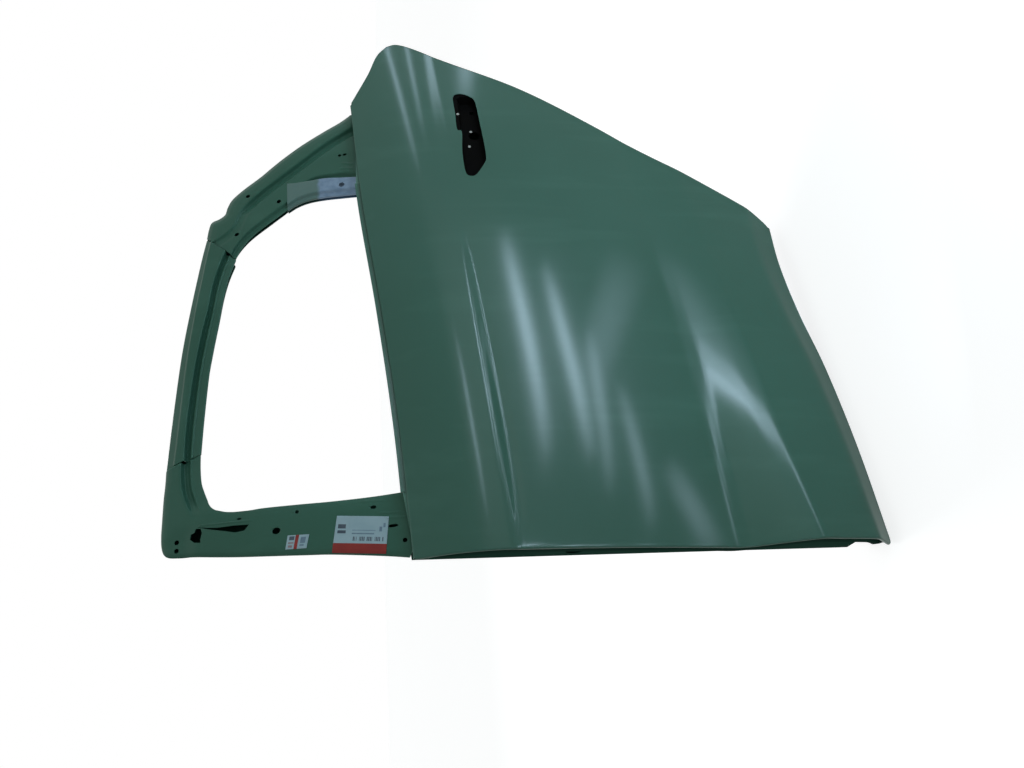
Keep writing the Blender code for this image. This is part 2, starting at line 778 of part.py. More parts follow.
def rear_wall_at(z):
    """Rear wall of the pan at a height. It runs straight from each row of the panel to the next."""
    corners = []
    for line in HEAD_LINES + BODY_LINES + FOOT_LINES[:1]:
        x = rear_wall_x(row_end(line))
        corners.append((line(x), x))
    k = 0
    while k < len(corners) - 2 and z < corners[k + 1][0]:
        k += 1
    (high, x_high), (low, x_low) = corners[k], corners[k + 1]
    return lerp(x_high, x_low, max((high - z) / (high - low), 0))


def pan_columns():
    """(kind, place, level) of each column of the panel, from its front to its rear edge."""
    columns = [
        ("front", 0.0, 0), ("front", HEM_SEAT, 1), ("front", FLANGE_JOG_INSET, 2),
        ("front", FRONT_WALL_INSET, 3), ("front", FRONT_WALL_INSET + WALL_DRAFT, 4),
        ("front", FRONT_WALL_INSET + WALL_BEND, 5),
    ]
    stations = skin_stations()
    kink = max(value for kind, value in stations if kind == "share")
    shares = [value for kind, value in stations if kind == "share"]
    shares = sorted(shares + [kink * share for share in PLATEAU_EDGE_shares])
    for share in shares:
        raised = PLATEAU_EDGE_shares[1] - NORMAL_STEP < share / kink
        raised = raised and share / kink < PLATEAU_EDGE_shares[2] + NORMAL_STEP
        columns.append(("share", share, 6 if raised else 5))
    columns += [("wall", WALL_BEND, 5), ("wall", WALL_DRAFT, 4), ("wall", 0.0, 3)]
    columns += [("tail", value, 2) for kind, value in stations if kind == "tail"]
    return columns + [("rear", FLANGE_JOG_INSET, 2), ("rear", HEM_SEAT, 1), ("rear", 0.0, 0)]


def pan_rows():
    """(line, level on the tail, level in the pan) of each row, from the belt down."""
    rows = [(line, level, 5) for level, line in enumerate(HEAD_LINES)]
    first, last = PLATEAU_ROWS
    for k, line in enumerate(BODY_LINES):
        level = 6 if first <= k < last else 5
        rows.append((line, level, level))
    wall_foot, hem_seat, edge = FOOT_LINES
    wall_bend = shifted(wall_foot, WALL_DRAFT)
    flange = shifted(bottom_line, FLANGE_JOG_INSET)
    lower = ((wall_bend, 4), (wall_foot, 3), (flange, 2), (hem_seat, 1), (edge, 0))
    return rows + [(line, level, level) for line, level in lower]


def build_inner_panel(material):
    columns, rows = pan_columns(), pan_rows()
    ends = [row_end(row[0]) for row in rows]
    kink = max(value for kind, value, _ in columns if kind == "share")
    first_tail = min(value for kind, value, _ in columns if kind == "tail")
    wall_column = next(i for i, column in enumerate(columns) if column[:2] == ("wall", 0.0))

    def column_x(i, j):
        """The shut faces are plane down to the row of their foot, where a draft begins."""
        kind, value, level = columns[i]
        if level == 4 and rows[j][2] > 3:
            value -= WALL_DRAFT
        end, bottom_hem = ends[j], j >= len(rows) - 2
        on_skin = bottom_hem or (kind == "tail" and j < 2)
        wall = rear_wall_x(end)
        if kind in ("front", "rear") or (on_skin and kind != "wall"):
            return station_x((kind, value), end)
        if kind == "share":
            share = PAN_COLUMN_share * value / kink
            return lerp(FRONT_WALL_INSET + WALL_BEND, wall - WALL_BEND, share)
        if kind == "tail":
            flange = end - FLANGE_JOG_INSET * rear_slant()
            return lerp(wall, flange, (value - kink) / (1 - kink))
        if bottom_hem:
            share = lerp(first_tail, kink, (value + WALL_BEND) / (3 * WALL_BEND))
            return station_x(("share", share), end)
        return wall - value

    def place(i, j):
        line, tail_level, pan_level = rows[j]
        x = column_x(i, j)
        x, z = plan_point(line, x, edge_name(columns[i][:2]))
        on_tail = i >= wall_column
        level = min(columns[i][2], tail_level if on_tail else pan_level)
        if j == 0 and not on_tail:
            z -= PAN_BELT_DROP
        if level < 2:
            return skin_point(x, z, SKIN_T + HEM_GAP)
        if level < 4:
            return Vector((x, skin_y(x, z) + SKIN_T + HEM_GAP + FLANGE_JOG, z))
        if level == 4:
            return Vector((x, pan_y(x) - WALL_BEND, z))
        pressed = PAN_PLATEAU if level == 6 else 0
        lip = PAN_BELT_LIP if j == 0 else 0
        return Vector((x, pan_y(x) - pressed - lip, z))

    mesh, _ = grid_mesh(len(columns), len(rows), place)
    panel = finish_sheet("inner_panel", mesh, Vector((0, -1, 0)), PANEL_T, material)
    cut(panel, add_cutter("inner_panel_holes", prism_mesh("inner_panel_holes", pan_holes())))


def pan_place(shares):
    return shares[0] * BELT_LENGTH, -shares[1] * DOOR_HEIGHT


def hinge_bolts(drop):
    """The two bolt holes of a hinge, one above the other."""
    return [-drop - HINGE_BOLT_SPACING / 2, -drop + HINGE_BOLT_SPACING / 2]


def wall_hole(x, y, z, size, segments=HOLE_SEGMENTS, squareness=ROUND_OUTLINE):
    """Cutter along X at a shut face. Size is (height, width)."""
    return ((x, y, z), "X", size, 2 * CUT_OVERRUN, segments, squareness)


def pan_hole(shares, size, segments=HOLE_SEGMENTS, squareness=ROUND_OUTLINE):
    """Cutter through the cabin side of the pan only."""
    x, z = pan_place(shares)
    return ((x, pan_y(x), z), "Y", size, 4 * PAN_PLATEAU, segments, squareness)


def pan_holes():
    large = LARGE_HOLE_SEGMENTS
    holes = [
        pan_hole(REGULATOR_HOLE_shares, REGULATOR_HOLE_SIZE, large, ACCESS_OUTLINE),
        pan_hole(SPEAKER_HOLE_shares, (SPEAKER_HOLE_D, SPEAKER_HOLE_D), large),
        pan_hole(LATCH_ACCESS_shares, LATCH_ACCESS_SIZE, large, SQUARED_OUTLINE),
        pan_hole(LOWER_ACCESS_shares, LOWER_ACCESS_SIZE, large, SQUARED_OUTLINE),
    ]
    holes += [pan_hole(shares, (CLIP_HOLE_D, CLIP_HOLE_D)) for shares in CLIP_HOLE_shares]
    bolt = (BOLT_HOLE_D, BOLT_HOLE_D)
    for drop in (UPPER_HINGE_DROP, LOWER_HINGE_DROP):
        holes += [wall_hole(FRONT_WALL_INSET, HINGE_Y, z, bolt) for z in hinge_bolts(drop)]
    check = (CHECK_SLOT_HEIGHT, CHECK_SLOT_WIDTH)
    holes.append(wall_hole(FRONT_WALL_INSET, HINGE_Y, -CHECK_DROP, check, SLOT_SEGMENTS, SQUARED_OUTLINE))
    harness = (HARNESS_HOLE_D, HARNESS_HOLE_D)
    holes.append(wall_hole(FRONT_WALL_INSET, HARNESS_Y, -HARNESS_DROP, harness, SLOT_SEGMENTS))
    wall = rear_wall_at(-LATCH_DROP)
    latch = (LATCH_SLOT_HEIGHT, LATCH_SLOT_WIDTH)
    holes.append(wall_hole(wall, LATCH_Y, -LATCH_DROP, latch, SLOT_SEGMENTS, SQUARED_OUTLINE))
    latch_bolt = (LATCH_BOLT_D, LATCH_BOLT_D)
    for side in (-1, 1):
        z = -LATCH_DROP + side * LATCH_BOLT_SPACING / 2
        holes.append(wall_hole(wall, LATCH_Y, z, latch_bolt))
    for share in DRAIN_HOLE_shares:
        x = share * BOTTOM_LENGTH
        z = bottom_line(x) + FRONT_WALL_INSET + WALL_DRAFT / 2
        centre = (x, (pan_y(x) + skin_y(x, z)) / 2, z)
        holes.append((centre, "Z", DRAIN_HOLE_SIZE, 2 * CUT_OVERRUN, HOLE_SEGMENTS, ROUND_OUTLINE))
    return holes


# Window frame


def frame_y(x, z, depth=0.0):
    """The leaning plane of the frame: depth is measured inboard of its outer face."""
    height = max(z - belt_line(x), 0)
    lean = FRAME_LEAN * height + height**2 / (2 * FRAME_RADIUS)
    return FRAME_SETBACK + belt_y(x) + lean + depth


def frame_place(share):
    return Vector((share[0] * FRAME_LENGTH, share[1] * FRAME_HEIGHT))


def frame_stack():
    """Distance in Y between the same faces of two sheets of the frame that touch."""
    slope = FRAME_LEAN + FRAME_HEIGHT / FRAME_RADIUS
    return (FRAME_T + SEAT_GAP) * math.hypot(1, slope)


def stations_of(shares):
    return [(frame_place(outer), frame_place(window)) for outer, window in shares]


def below_belt(outer_x, window_x, drops):
    """Stations of a tongue that runs straight down inside the door."""
    made = []
    for drop in drops:
        outer = Vector((outer_x, belt_line(outer_x) - drop))
        made.append((outer, Vector((window_x, belt_line(window_x) - drop))))
    return made


def front_stations(drops):
    stations = stations_of(FRONT_STATION_shares)
    outer_x = FRONT_WALL_INSET + SEAT_GAP
    return below_belt(outer_x, stations[0][1].x, drops) + stations


def division_edge(z):
    """Leading edge of the division channel at a height."""
    line = [frame_place(share) for share in DIVISION_STATION_shares]
    for upper, lower in zip(line, line[1:]):
        if z >= lower.y:
            return lerp(lower.x, upper.x, (z - lower.y) / (upper.y - lower.y))
    return line[-1].x


def rear_stations(drops):
    """The lower ones keep the panel's lip behind the trailing edge of the division channel."""
    stations = stations_of(REAR_STATION_shares)
    window_foot = belt_line(DIVISION_STATION_shares[-1][0] * FRAME_LENGTH)
    for (along, outer_rise), window_rise in REAR_FOOT_STATION_shares:
        outer_x = along * FRAME_LENGTH
        outer = Vector((outer_x, belt_line(outer_x) + outer_rise * FRAME_HEIGHT))
        z = window_foot + window_rise * FRAME_HEIGHT
        behind = division_edge(z) + DIVISION_WIDTH - LIP_WIDTH + LIP_STEP
        stations.append((outer, Vector((behind, z))))
    joint = Vector((JOINT_GAP, 0))
    stations[0] = (stations[0][0] + joint, stations[0][1] + joint)
    outer_x = rear_wall_at(-TONGUE_DROP) - SEAT_GAP
    return stations + below_belt(outer_x, stations[-1][1].x, drops)


def header_stations():
    stations = stations_of(HEADER_STATION_shares)
    joint = Vector((JOINT_GAP, 0))
    stations[0] = (stations[0][0] + joint, stations[0][1] + joint)
    return stations


def frame_sheet(stations, section):
    """A sheet swept along the frame. section(station, width) lists (from window edge, depth)."""
    widths = [(outer - window).length for outer, window in stations]
    columns = len(section(0, widths[0]))

    def place(i, j):
        outer, window = stations[j]
        across, depth = section(j, widths[j])[i]
        point = window + (outer - window) * (across / widths[j])
        return Vector((point.x, frame_y(point.x, point.y, depth), point.y))

    mesh, _ = grid_mesh(columns, len(stations), place)
    return mesh


def front_outer_section(_, width):
    shelf = LIP_WIDTH + LIP_STEP + LIP_SHELF
    return (
        (0, LIP_DEPTH),
        (LIP_WIDTH, LIP_DEPTH),
        (LIP_WIDTH + LIP_STEP, SHELF_DEPTH),
        (shelf, SHELF_DEPTH),
        (shelf + LIP_STEP, 0),
        (width - EDGE_FLANGE - EDGE_STEP, 0),
        (width - EDGE_FLANGE, EDGE_FLANGE_DEPTH),
        (width, EDGE_FLANGE_DEPTH),
    )


def inner_section(_, width):
    flange_depth = EDGE_FLANGE_DEPTH + frame_stack()
    return (
        (FRAME_T, INNER_FRAME_DEPTH),
        (width - EDGE_FLANGE - 2 * EDGE_STEP, INNER_FRAME_DEPTH),
        (width - EDGE_FLANGE - FRAME_T, flange_depth),
        (width - FRAME_T, flange_depth),
    )


def run_section(_, width):
    """The U of the glass run, between the lips of the outer and inner frame sheets."""
    outer_lip = LIP_DEPTH + 2 * frame_stack() - SEAT_GAP
    inner_lip = INNER_FRAME_DEPTH - frame_stack()
    return (
        (FRAME_T, inner_lip), (RUN_DEPTH, inner_lip), (RUN_DEPTH, outer_lip), (FRAME_T, outer_lip)
    )


def rear_outer_section(station, width):
    groove = REAR_GROOVE_shares[min(station, len(REAR_GROOVE_shares) - 1)] * width
    half = GROOVE_WIDTH / 2
    lip = LIP_WIDTH
    if station == len(REAR_STATION_shares) - 1:
        window = frame_place(REAR_STATION_shares[-1][1])
        lip = division_edge(window.y) + DIVISION_WIDTH + LIP_STEP - window.x
    return (
        (0, LIP_DEPTH),
        (lip, LIP_DEPTH),
        (lip + GROOVE_SLOPE, TRIANGLE_DEPTH),
        (groove - half, TRIANGLE_DEPTH),
        (groove - half + GROOVE_SLOPE, GROOVE_DEPTH),
        (groove + half - GROOVE_SLOPE, GROOVE_DEPTH),
        (groove + half, 0),
        (width - EDGE_FLANGE - EDGE_STEP / 2, 0),
        (width - EDGE_FLANGE, EDGE_FLANGE_DEPTH),
        (width, EDGE_FLANGE_DEPTH),
    )


def folded_run(fold_depth):
    """Inner lip, web, outer lip and the fold back over it, from (window edge, depth)."""
    outer_lip = fold_depth + HEADER_FOLD
    return (
        (LIP_STEP, INNER_FRAME_DEPTH - frame_stack()),
        (RUN_DEPTH, INNER_FRAME_DEPTH - frame_stack()),
        (RUN_DEPTH, outer_lip),
        (0, outer_lip),
        (0, fold_depth),
        (RUN_DEPTH - LIP_STEP, fold_depth),
    )


def header_section(_, width):
    """The rolled header: glass run, fold, box face, doubled outer flange and closing face."""
    flange_back = EDGE_FLANGE_DEPTH + HEADER_FOLD
    return folded_run(LIP_DEPTH) + (
        (RUN_DEPTH + LIP_STEP, 0),
        (width - EDGE_FLANGE - EDGE_STEP, 0),
        (width - EDGE_FLANGE, EDGE_FLANGE_DEPTH),
        (width, EDGE_FLANGE_DEPTH),
        (width, flange_back),
        (width - EDGE_FLANGE, flange_back),
        (width - EDGE_FLANGE - EDGE_STEP, INNER_FRAME_DEPTH + FRAME_T),
        (LIP_SHELF, INNER_FRAME_DEPTH + FRAME_T),
    )


def division_section(_, width):
    return folded_run(LIP_DEPTH) + (
        (RUN_DEPTH + LIP_STEP, DIVISION_FACE_DEPTH),
        (width - LIP_SHELF, DIVISION_FACE_DEPTH),
        (width - LIP_SHELF + LIP_STEP, LIP_DEPTH - frame_stack()),
        (width, LIP_DEPTH - frame_stack()),
    )


OUTBOARD = Vector((0, -1, 0))


def build_front_frame(paint):
    drops = (TONGUE_DROP, PAN_BELT_DROP - 2 * SEAT_GAP)
    outer = frame_sheet(front_stations(drops), front_outer_section)
    panel = finish_sheet("front_frame_panel", outer, OUTBOARD, FRAME_T, paint)
    cut(panel, add_cutter("front_frame_holes", prism_mesh("front_frame_holes", front_holes())))
    inner = frame_sheet(front_stations(drops), inner_section)
    finish_sheet("front_frame_inner", inner, OUTBOARD, FRAME_T, paint)
    run_drops = (FRONT_RUN_DROP, TONGUE_DROP, PAN_BELT_DROP)
    run = frame_sheet(front_stations(run_drops), run_section)
    finish_run("front_sash_channel", run, paint)


def finish_run(name, mesh, material):
    """The outer face of a glass run is its hollow, so its sheet grows away from it."""
    finish_sheet(name, mesh, OUTBOARD, FRAME_T, material)


def front_holes():
    def at(shares, size, segments=HOLE_SEGMENTS, squareness=ROUND_OUTLINE):
        place = frame_place(shares)
        centre = (place.x, frame_y(place.x, place.y, LIP_DEPTH / 2), place.y)
        return (centre, "Y", size, 2 * LIP_DEPTH, segments, squareness)

    round_size = (FRONT_ROUND_HOLE_D, FRONT_ROUND_HOLE_D)
    holes = [at(shares, round_size) for shares in FRONT_ROUND_HOLE_shares]
    holes.append(at(FRONT_OVAL_shares, FRONT_OVAL_SIZE, ROUND_SEGMENTS))
    holes.append(at(FRONT_LONG_SLOT_shares, FRONT_LONG_SLOT_SIZE, ROUND_SEGMENTS))
    holes.append(at(FRONT_CORNER_HOLE_shares, FRONT_CORNER_HOLE_SIZE))
    holes.append(at(FRONT_BELT_SLOT_shares, FRONT_BELT_SLOT_SIZE, HOLE_SEGMENTS, SQUARED_OUTLINE))
    return holes


def build_header(paint):
    mesh = frame_sheet(header_stations(), header_section)
    finish_sheet("header_channel", mesh, OUTBOARD, FRAME_T, paint)


def build_rear_frame(paint):
    drops = (OUTER_BELT_HAT_DROP, TONGUE_DROP)
    stations = rear_stations(drops)
    outer = frame_sheet(stations, rear_outer_section)
    panel = finish_sheet("rear_frame_panel", outer, OUTBOARD, FRAME_T, paint)
    holes = []
    for shares in REAR_ROUND_HOLE_shares:
        place = frame_place(shares)
        centre = (place.x, frame_y(place.x, place.y, LIP_DEPTH / 2), place.y)
        size = (REAR_ROUND_HOLE_D, REAR_ROUND_HOLE_D)
        holes.append((centre, "Y", size, 2 * LIP_DEPTH, HOLE_SEGMENTS, ROUND_OUTLINE))
    cut(panel, add_cutter("rear_frame_holes", prism_mesh("rear_frame_holes", holes)))
    inner = frame_sheet(stations, inner_section)
    finish_sheet("rear_frame_inner", inner, OUTBOARD, FRAME_T, paint)
    corner = stations[:REAR_CORNER_STATIONS]
    run = frame_sheet(corner, run_section)
    finish_run("rear_corner_channel", run, paint)


def division_stations():
    leading = [frame_place(share) for share in DIVISION_STATION_shares]
    last = leading[-1].x
    for drop in (OUTER_BELT_HAT_DROP, TONGUE_DROP, REAR_RUN_DROP):
        leading.append(Vector((last, belt_line(last) - drop)))
    return [(point + Vector((DIVISION_WIDTH, 0)), point) for point in leading]


def build_division(zinc):
    mesh = frame_sheet(division_stations(), division_section)
    bar = finish_sheet("division_channel", mesh, OUTBOARD, FRAME_T, zinc)
    place = frame_place(DIVISION_HOLE_shares)
    centre = (place.x, frame_y(place.x, place.y, DIVISION_FACE_DEPTH), place.y)
    size = (DIVISION_HOLE_SIZE, DIVISION_HOLE_SIZE)
    hole = (centre, "Y", size, LIP_DEPTH, HOLE_SEGMENTS, SQUARED_OUTLINE)
    cut(bar, add_cutter("division_hole", prism_mesh("division_hole", [hole])))


# Belt reinforcements


def belt_stations(start, end):
    return [lerp(start, end, k / (BELT_STATIONS - 1)) for k in range(BELT_STATIONS)]


def belt_sheet(name, section, end_gap, material):
    start = FRONT_WALL_INSET + end_gap
    places = belt_stations(start, rear_wall_at(0) - end_gap)

    def place(i, j):
        y, drop = section(places[j])[i]
        return Vector((places[j], y, belt_line(places[j]) - drop))

    mesh, _ = grid_mesh(len(section(places[0])), len(places), place)
    return finish_sheet(name, mesh, OUTBOARD, FRAME_T, material)


def outer_belt_section(x):
    """From the flange behind the skin's own, through the hat, to the foot bonded to the skin."""
    low, high = window_edges()
    flange_top = -BELT_FLANGE + SEAT_GAP if low < x < high else SKIN_T + SEAT_GAP
    flange_y = skin_y(x, belt_line(x)) + BELT_LIP + SKIN_T + SEAT_GAP
    hat_y = FRAME_SETBACK + belt_y(x) - SEAT_GAP - FRAME_T
    hat_end = OUTER_BELT_HAT_DROP + OUTER_BELT_HAT_HEIGHT
    foot = hat_end + BELT_SLOPE_HEIGHT

    def foot_y(drop):
        return skin_y(x, belt_line(x) - drop) + SKIN_T + OUTER_BELT_BOND

    return (
        (flange_y, flange_top),
        (flange_y, OUTER_BELT_HAT_DROP - BELT_SLOPE_HEIGHT),
        (hat_y, OUTER_BELT_HAT_DROP),
        (hat_y, hat_end),
        (foot_y(foot), foot),
        (foot_y(foot + OUTER_BELT_FOOT), foot + OUTER_BELT_FOOT),
    )


def inner_belt_section(x):
    seat_y = pan_y(x) - SEAT_GAP - FRAME_T
    hat_y = FRAME_SETBACK + belt_y(x) + INNER_FRAME_DEPTH + FRAME_T + SEAT_GAP
    hat = INNER_BELT_TOP + INNER_BELT_FOOT + BELT_SLOPE_HEIGHT
    hat_end = hat + INNER_BELT_HAT_HEIGHT
    foot = hat_end + BELT_SLOPE_HEIGHT
    return (
        (seat_y, INNER_BELT_TOP),
        (seat_y, INNER_BELT_TOP + INNER_BELT_FOOT),
        (hat_y, hat),
        (hat_y, hat_end),
        (seat_y, foot),
        (seat_y, foot + INNER_BELT_FOOT),
    )


# Hinge, check strap and latch reinforcements


def plate(name, centre, axis, size, thickness, material, holes):
    data = prism_mesh(name, [(centre, axis, size, thickness, PLATE_SEGMENTS, PLATE_OUTLINE)])
    obj = add_object(name, data, material)
    if holes:
        cut(obj, add_cutter(name + "_holes", prism_mesh(name + "_holes", holes)))
    return obj


def build_front_wall_parts(steel):
    wall = FRONT_WALL_INSET + SEAT_GAP
    x = wall + HINGE_PLATE_T / 2
    bolt = (BOLT_HOLE_D, BOLT_HOLE_D)
    for side, drop in (("upper", UPPER_HINGE_DROP), ("lower", LOWER_HINGE_DROP)):
        holes = [wall_hole(x, HINGE_Y, z, bolt) for z in hinge_bolts(drop)]
        size = (HINGE_PLATE_HEIGHT, HINGE_PLATE_WIDTH)
        name = side + "_hinge_reinforcement"
        plate(name, (x, HINGE_Y, -drop), "X", size, HINGE_PLATE_T, steel, holes)
        for k, z in enumerate(hinge_bolts(drop)):
            nut_name = f"{side}_hinge_weld_nut_{k + 1}"
            nut = turned_ring(
                nut_name, WELD_NUT_D, WELD_NUT_BORE, WELD_NUT_HEIGHT, NUT_SEGMENTS, steel
            )
            nut.rotation_euler = (0, math.pi / 2, 0)
            nut_x = wall + HINGE_PLATE_T + SEAT_GAP + WELD_NUT_HEIGHT / 2
            nut.location = (nut_x, HINGE_Y, z)
    check = (CHECK_SLOT_HEIGHT, CHECK_SLOT_WIDTH)
    slot = wall_hole(x, HINGE_Y, -CHECK_DROP, check, SLOT_SEGMENTS, SQUARED_OUTLINE)
    size = (CHECK_PLATE_SIZE, CHECK_PLATE_SIZE)
    centre = (x, HINGE_Y, -CHECK_DROP)
    plate("check_strap_reinforcement", centre, "X", size, HINGE_PLATE_T, steel, [slot])


def build_latch_reinforcement(steel):
    x = rear_wall_at(-LATCH_DROP) - SEAT_GAP - LATCH_PLATE_T / 2
    latch = (LATCH_SLOT_HEIGHT, LATCH_SLOT_WIDTH)
    holes = [wall_hole(x, LATCH_Y, -LATCH_DROP, latch, SLOT_SEGMENTS, SQUARED_OUTLINE)]
    bolt = (LATCH_BOLT_D, LATCH_BOLT_D)
    for side in (-1, 1):
        z = -LATCH_DROP + side * LATCH_BOLT_SPACING / 2
        holes.append(wall_hole(x, LATCH_Y, z, bolt))
    size = (LATCH_PLATE_HEIGHT, LATCH_PLATE_WIDTH)
    centre = (x, LATCH_Y, -LATCH_DROP)
    plate("latch_reinforcement", centre, "X", size, LATCH_PLATE_T, steel, holes)


# Side impact beam


def beam_ends():
    """Centres of the beam's two ends."""
    inboard = SKIN_T + BEAM_SKIN_GAP + BEAM_D / 2
    front_x, front_z = FRONT_WALL_INSET + BEAM_END_GAP, -BEAM_FRONT_DROP
    rear_x, rear_z = rear_wall_at(-BEAM_REAR_DROP) - BEAM_END_GAP, -BEAM_REAR_DROP
    front = Vector((front_x, skin_y(front_x, front_z) + inboard, front_z))
    rear = Vector((rear_x, skin_y(rear_x, rear_z) + inboard, rear_z))
    return front, rear


def beam_y(x):
    front, rear = beam_ends()
    return lerp(front.y, rear.y, (x - front.x) / (rear.x - front.x))


def build_beam(steel):
    front, rear = beam_ends()
    run = rear - front
    bore = BEAM_D - 2 * BEAM_WALL
    beam = turned_ring("impact_beam", BEAM_D, bore, run.length, ROUND_SEGMENTS, steel)
    beam.rotation_mode = "QUATERNION"
    beam.rotation_quaternion = run.to_track_quat("Z", "Y")
    beam.location = (front + rear) / 2


def front_wall_at(z):
    return FRONT_WALL_INSET + SEAT_GAP


def rear_bracket_wall_at(z):
    return rear_wall_at(z) - SEAT_GAP * rear_slant()


def build_beam_bracket(name, end, wall_at, side, steel):
    """A plate that carries the beam's end, with a foot on the wall. side is its way in."""
    half = BEAM_BRACKET_HEIGHT / 2

    def place(i, j):
        z = end.z + half - j * half
        wall = wall_at(z)
        x = wall if i < 2 else end.x + side * (BEAM_BRACKET_LENGTH - BEAM_END_GAP)
        foot = BEAM_BRACKET_FOOT if i == 0 else 0
        return Vector((x, beam_y(x) + BEAM_D / 2 + SEAT_GAP + foot, z))

    mesh, _ = grid_mesh(3, 3, place)
    finish_sheet(name, mesh, OUTBOARD, BRACKET_T, steel)


def build_pads(mastic):
    """Anti-flutter pads between the beam and the skin."""
    front, rear = beam_ends()
    for k, share in enumerate(PAD_PLACE_shares):
        centre = front.lerp(rear, share)
        xs = (centre.x - PAD_LENGTH / 2, centre.x + PAD_LENGTH / 2)
        zs = (centre.z - PAD_HEIGHT / 2, centre.z + PAD_HEIGHT / 2)
        outer = max(skin_y(x, z) for x in xs for z in zs) + SKIN_T + 2 * SEAT_GAP
        inner = min(beam_y(x) for x in xs) - BEAM_D / 2 - SEAT_GAP
        place = (centre.x, (inner + outer) / 2, centre.z)
        size = (PAD_LENGTH, PAD_HEIGHT)
        plate(f"anti_flutter_pad_{k + 1}", place, "Y", size, inner - outer, mastic, [])


# Outer handle bracket


def build_handle_bracket(material):
    """A shallow cup bonded to the skin round the handle opening."""
    rim, margin = HANDLE_BRACKET_RIM, HANDLE_BRACKET_MARGIN
    low_x, high_x = SLOT_REAR_X - SLOT_LENGTH - margin, SLOT_REAR_X
    low_z, high_z = -SLOT_TOP_DROP - SLOT_HEIGHT - margin, -SLOT_TOP_DROP
    wall = HANDLE_BRACKET_DEPTH
    step = rim / 2
    insets = (0, step, rim, -rim, -step, 0)

    def along(low, high, k):
        return (low if k < 3 else high) + insets[k]

    def place(i, j):
        x, z = along(low_x, high_x, i), along(low_z, high_z, j)
        level = min(i, j, 5 - i, 5 - j)
        inboard = SKIN_T + HANDLE_BRACKET_BOND + (wall if level == 2 else 0)
        return Vector((x, skin_y(x, z) + inboard, z))

    mesh, _ = grid_mesh(6, 6, place)
    bracket = finish_sheet("handle_bracket", mesh, OUTBOARD, BRACKET_T, material)
    middle_z = (low_z + high_z) / 2
    holes = []
    sizes = [(share, HANDLE_STUD_HOLE_D) for share in HANDLE_STUD_shares]
    for share, size in sizes + [(HANDLE_LOCK_share, HANDLE_LOCK_HOLE_D)]:
        x = lerp(high_x, low_x, share)
        holes.append(hole_y((x, middle_z), (size, size), HANDLE_HOLE_SEGMENTS))
    cut(bracket, add_cutter("handle_bracket_holes", prism_mesh("handle_bracket_holes", holes)))


# Brackets that tie the lower ends of the glass runs to the pan


def build_run_bracket(name, window_x, drop, run_back, steel):
    """A Z bracket from the back of a glass run to the pressed middle of the pan."""
    x = window_x + RUN_DEPTH / 2
    run_y = FRAME_SETBACK + belt_y(x) + run_back + SEAT_GAP
    high = belt_line(x) - drop + RUN_BRACKET_RISE
    low = high - RUN_BRACKET_FOOT
    pan = pan_y(x) - PAN_PLATEAU - BRACKET_T - SEAT_GAP
    section = (
        (run_y, high), (run_y, low), (pan, low - LIP_STEP), (pan, low - RUN_BRACKET_FOOT)
    )

    def place(i, j):
        y, z = section[j]
        return Vector((x + (i - 0.5) * RUN_BRACKET_WIDTH, y, z))

    mesh, _ = grid_mesh(2, len(section), place)
    finish_sheet(name, mesh, OUTBOARD, BRACKET_T, steel)


def main():
    primer = metal("green_electrocoat", (0.043, 0.122, 0.094), 0.42, 0.10)
    inner_primer = metal("green_electrocoat_inside", (0.034, 0.090, 0.068), 0.50, 0.10)
    zinc = metal("zinc_plate", (0.190, 0.270, 0.380), 0.38, 0.75)
    black = metal("black_bracket", (0.010, 0.012, 0.012), 0.55, 0.05)
    mastic = metal("grey_mastic", (0.060, 0.062, 0.060), 0.90, 0.0)

    build_outer_skin(primer)
    build_inner_panel(inner_primer)
    build_front_frame(primer)
    build_header(primer)
    build_rear_frame(primer)
    build_division(zinc)
    belt_sheet("outer_belt_reinforcement", outer_belt_section, SEAT_GAP, primer)
    belt_sheet("inner_belt_reinforcement", inner_belt_section, WALL_BEND, inner_primer)
    build_front_wall_parts(inner_primer)
    build_latch_reinforcement(inner_primer)
    build_beam(inner_primer)
    front, rear = beam_ends()
    build_beam_bracket("beam_front_bracket", front, front_wall_at, 1, inner_primer)
    build_beam_bracket("beam_rear_bracket", rear, rear_bracket_wall_at, -1, inner_primer)
    build_pads(mastic)
    build_handle_bracket(black)
    front_window, rear_window = window_edges()
    back = INNER_FRAME_DEPTH - frame_stack()
    build_run_bracket(
        "front_run_bracket", front_window, FRONT_RUN_DROP, back + FRAME_T, inner_primer
    )
    build_run_bracket("rear_run_bracket", rear_window, REAR_RUN_DROP, back, inner_primer)


clear_scene()
DOOR = new_collection("car_door_shell")
CUTTERS = new_collection("cutters", hidden=True)
DATUM = bpy.data.objects.new("belt_datum", None)
DATUM.location = (-(FRONT_WALL_INSET - PANEL_T), -HINGE_Y, UPPER_HINGE_DROP)
DOOR.objects.link(DATUM)
main()
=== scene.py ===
import math

import bmesh
import bpy
import numpy as np
from mathutils import Matrix, Vector


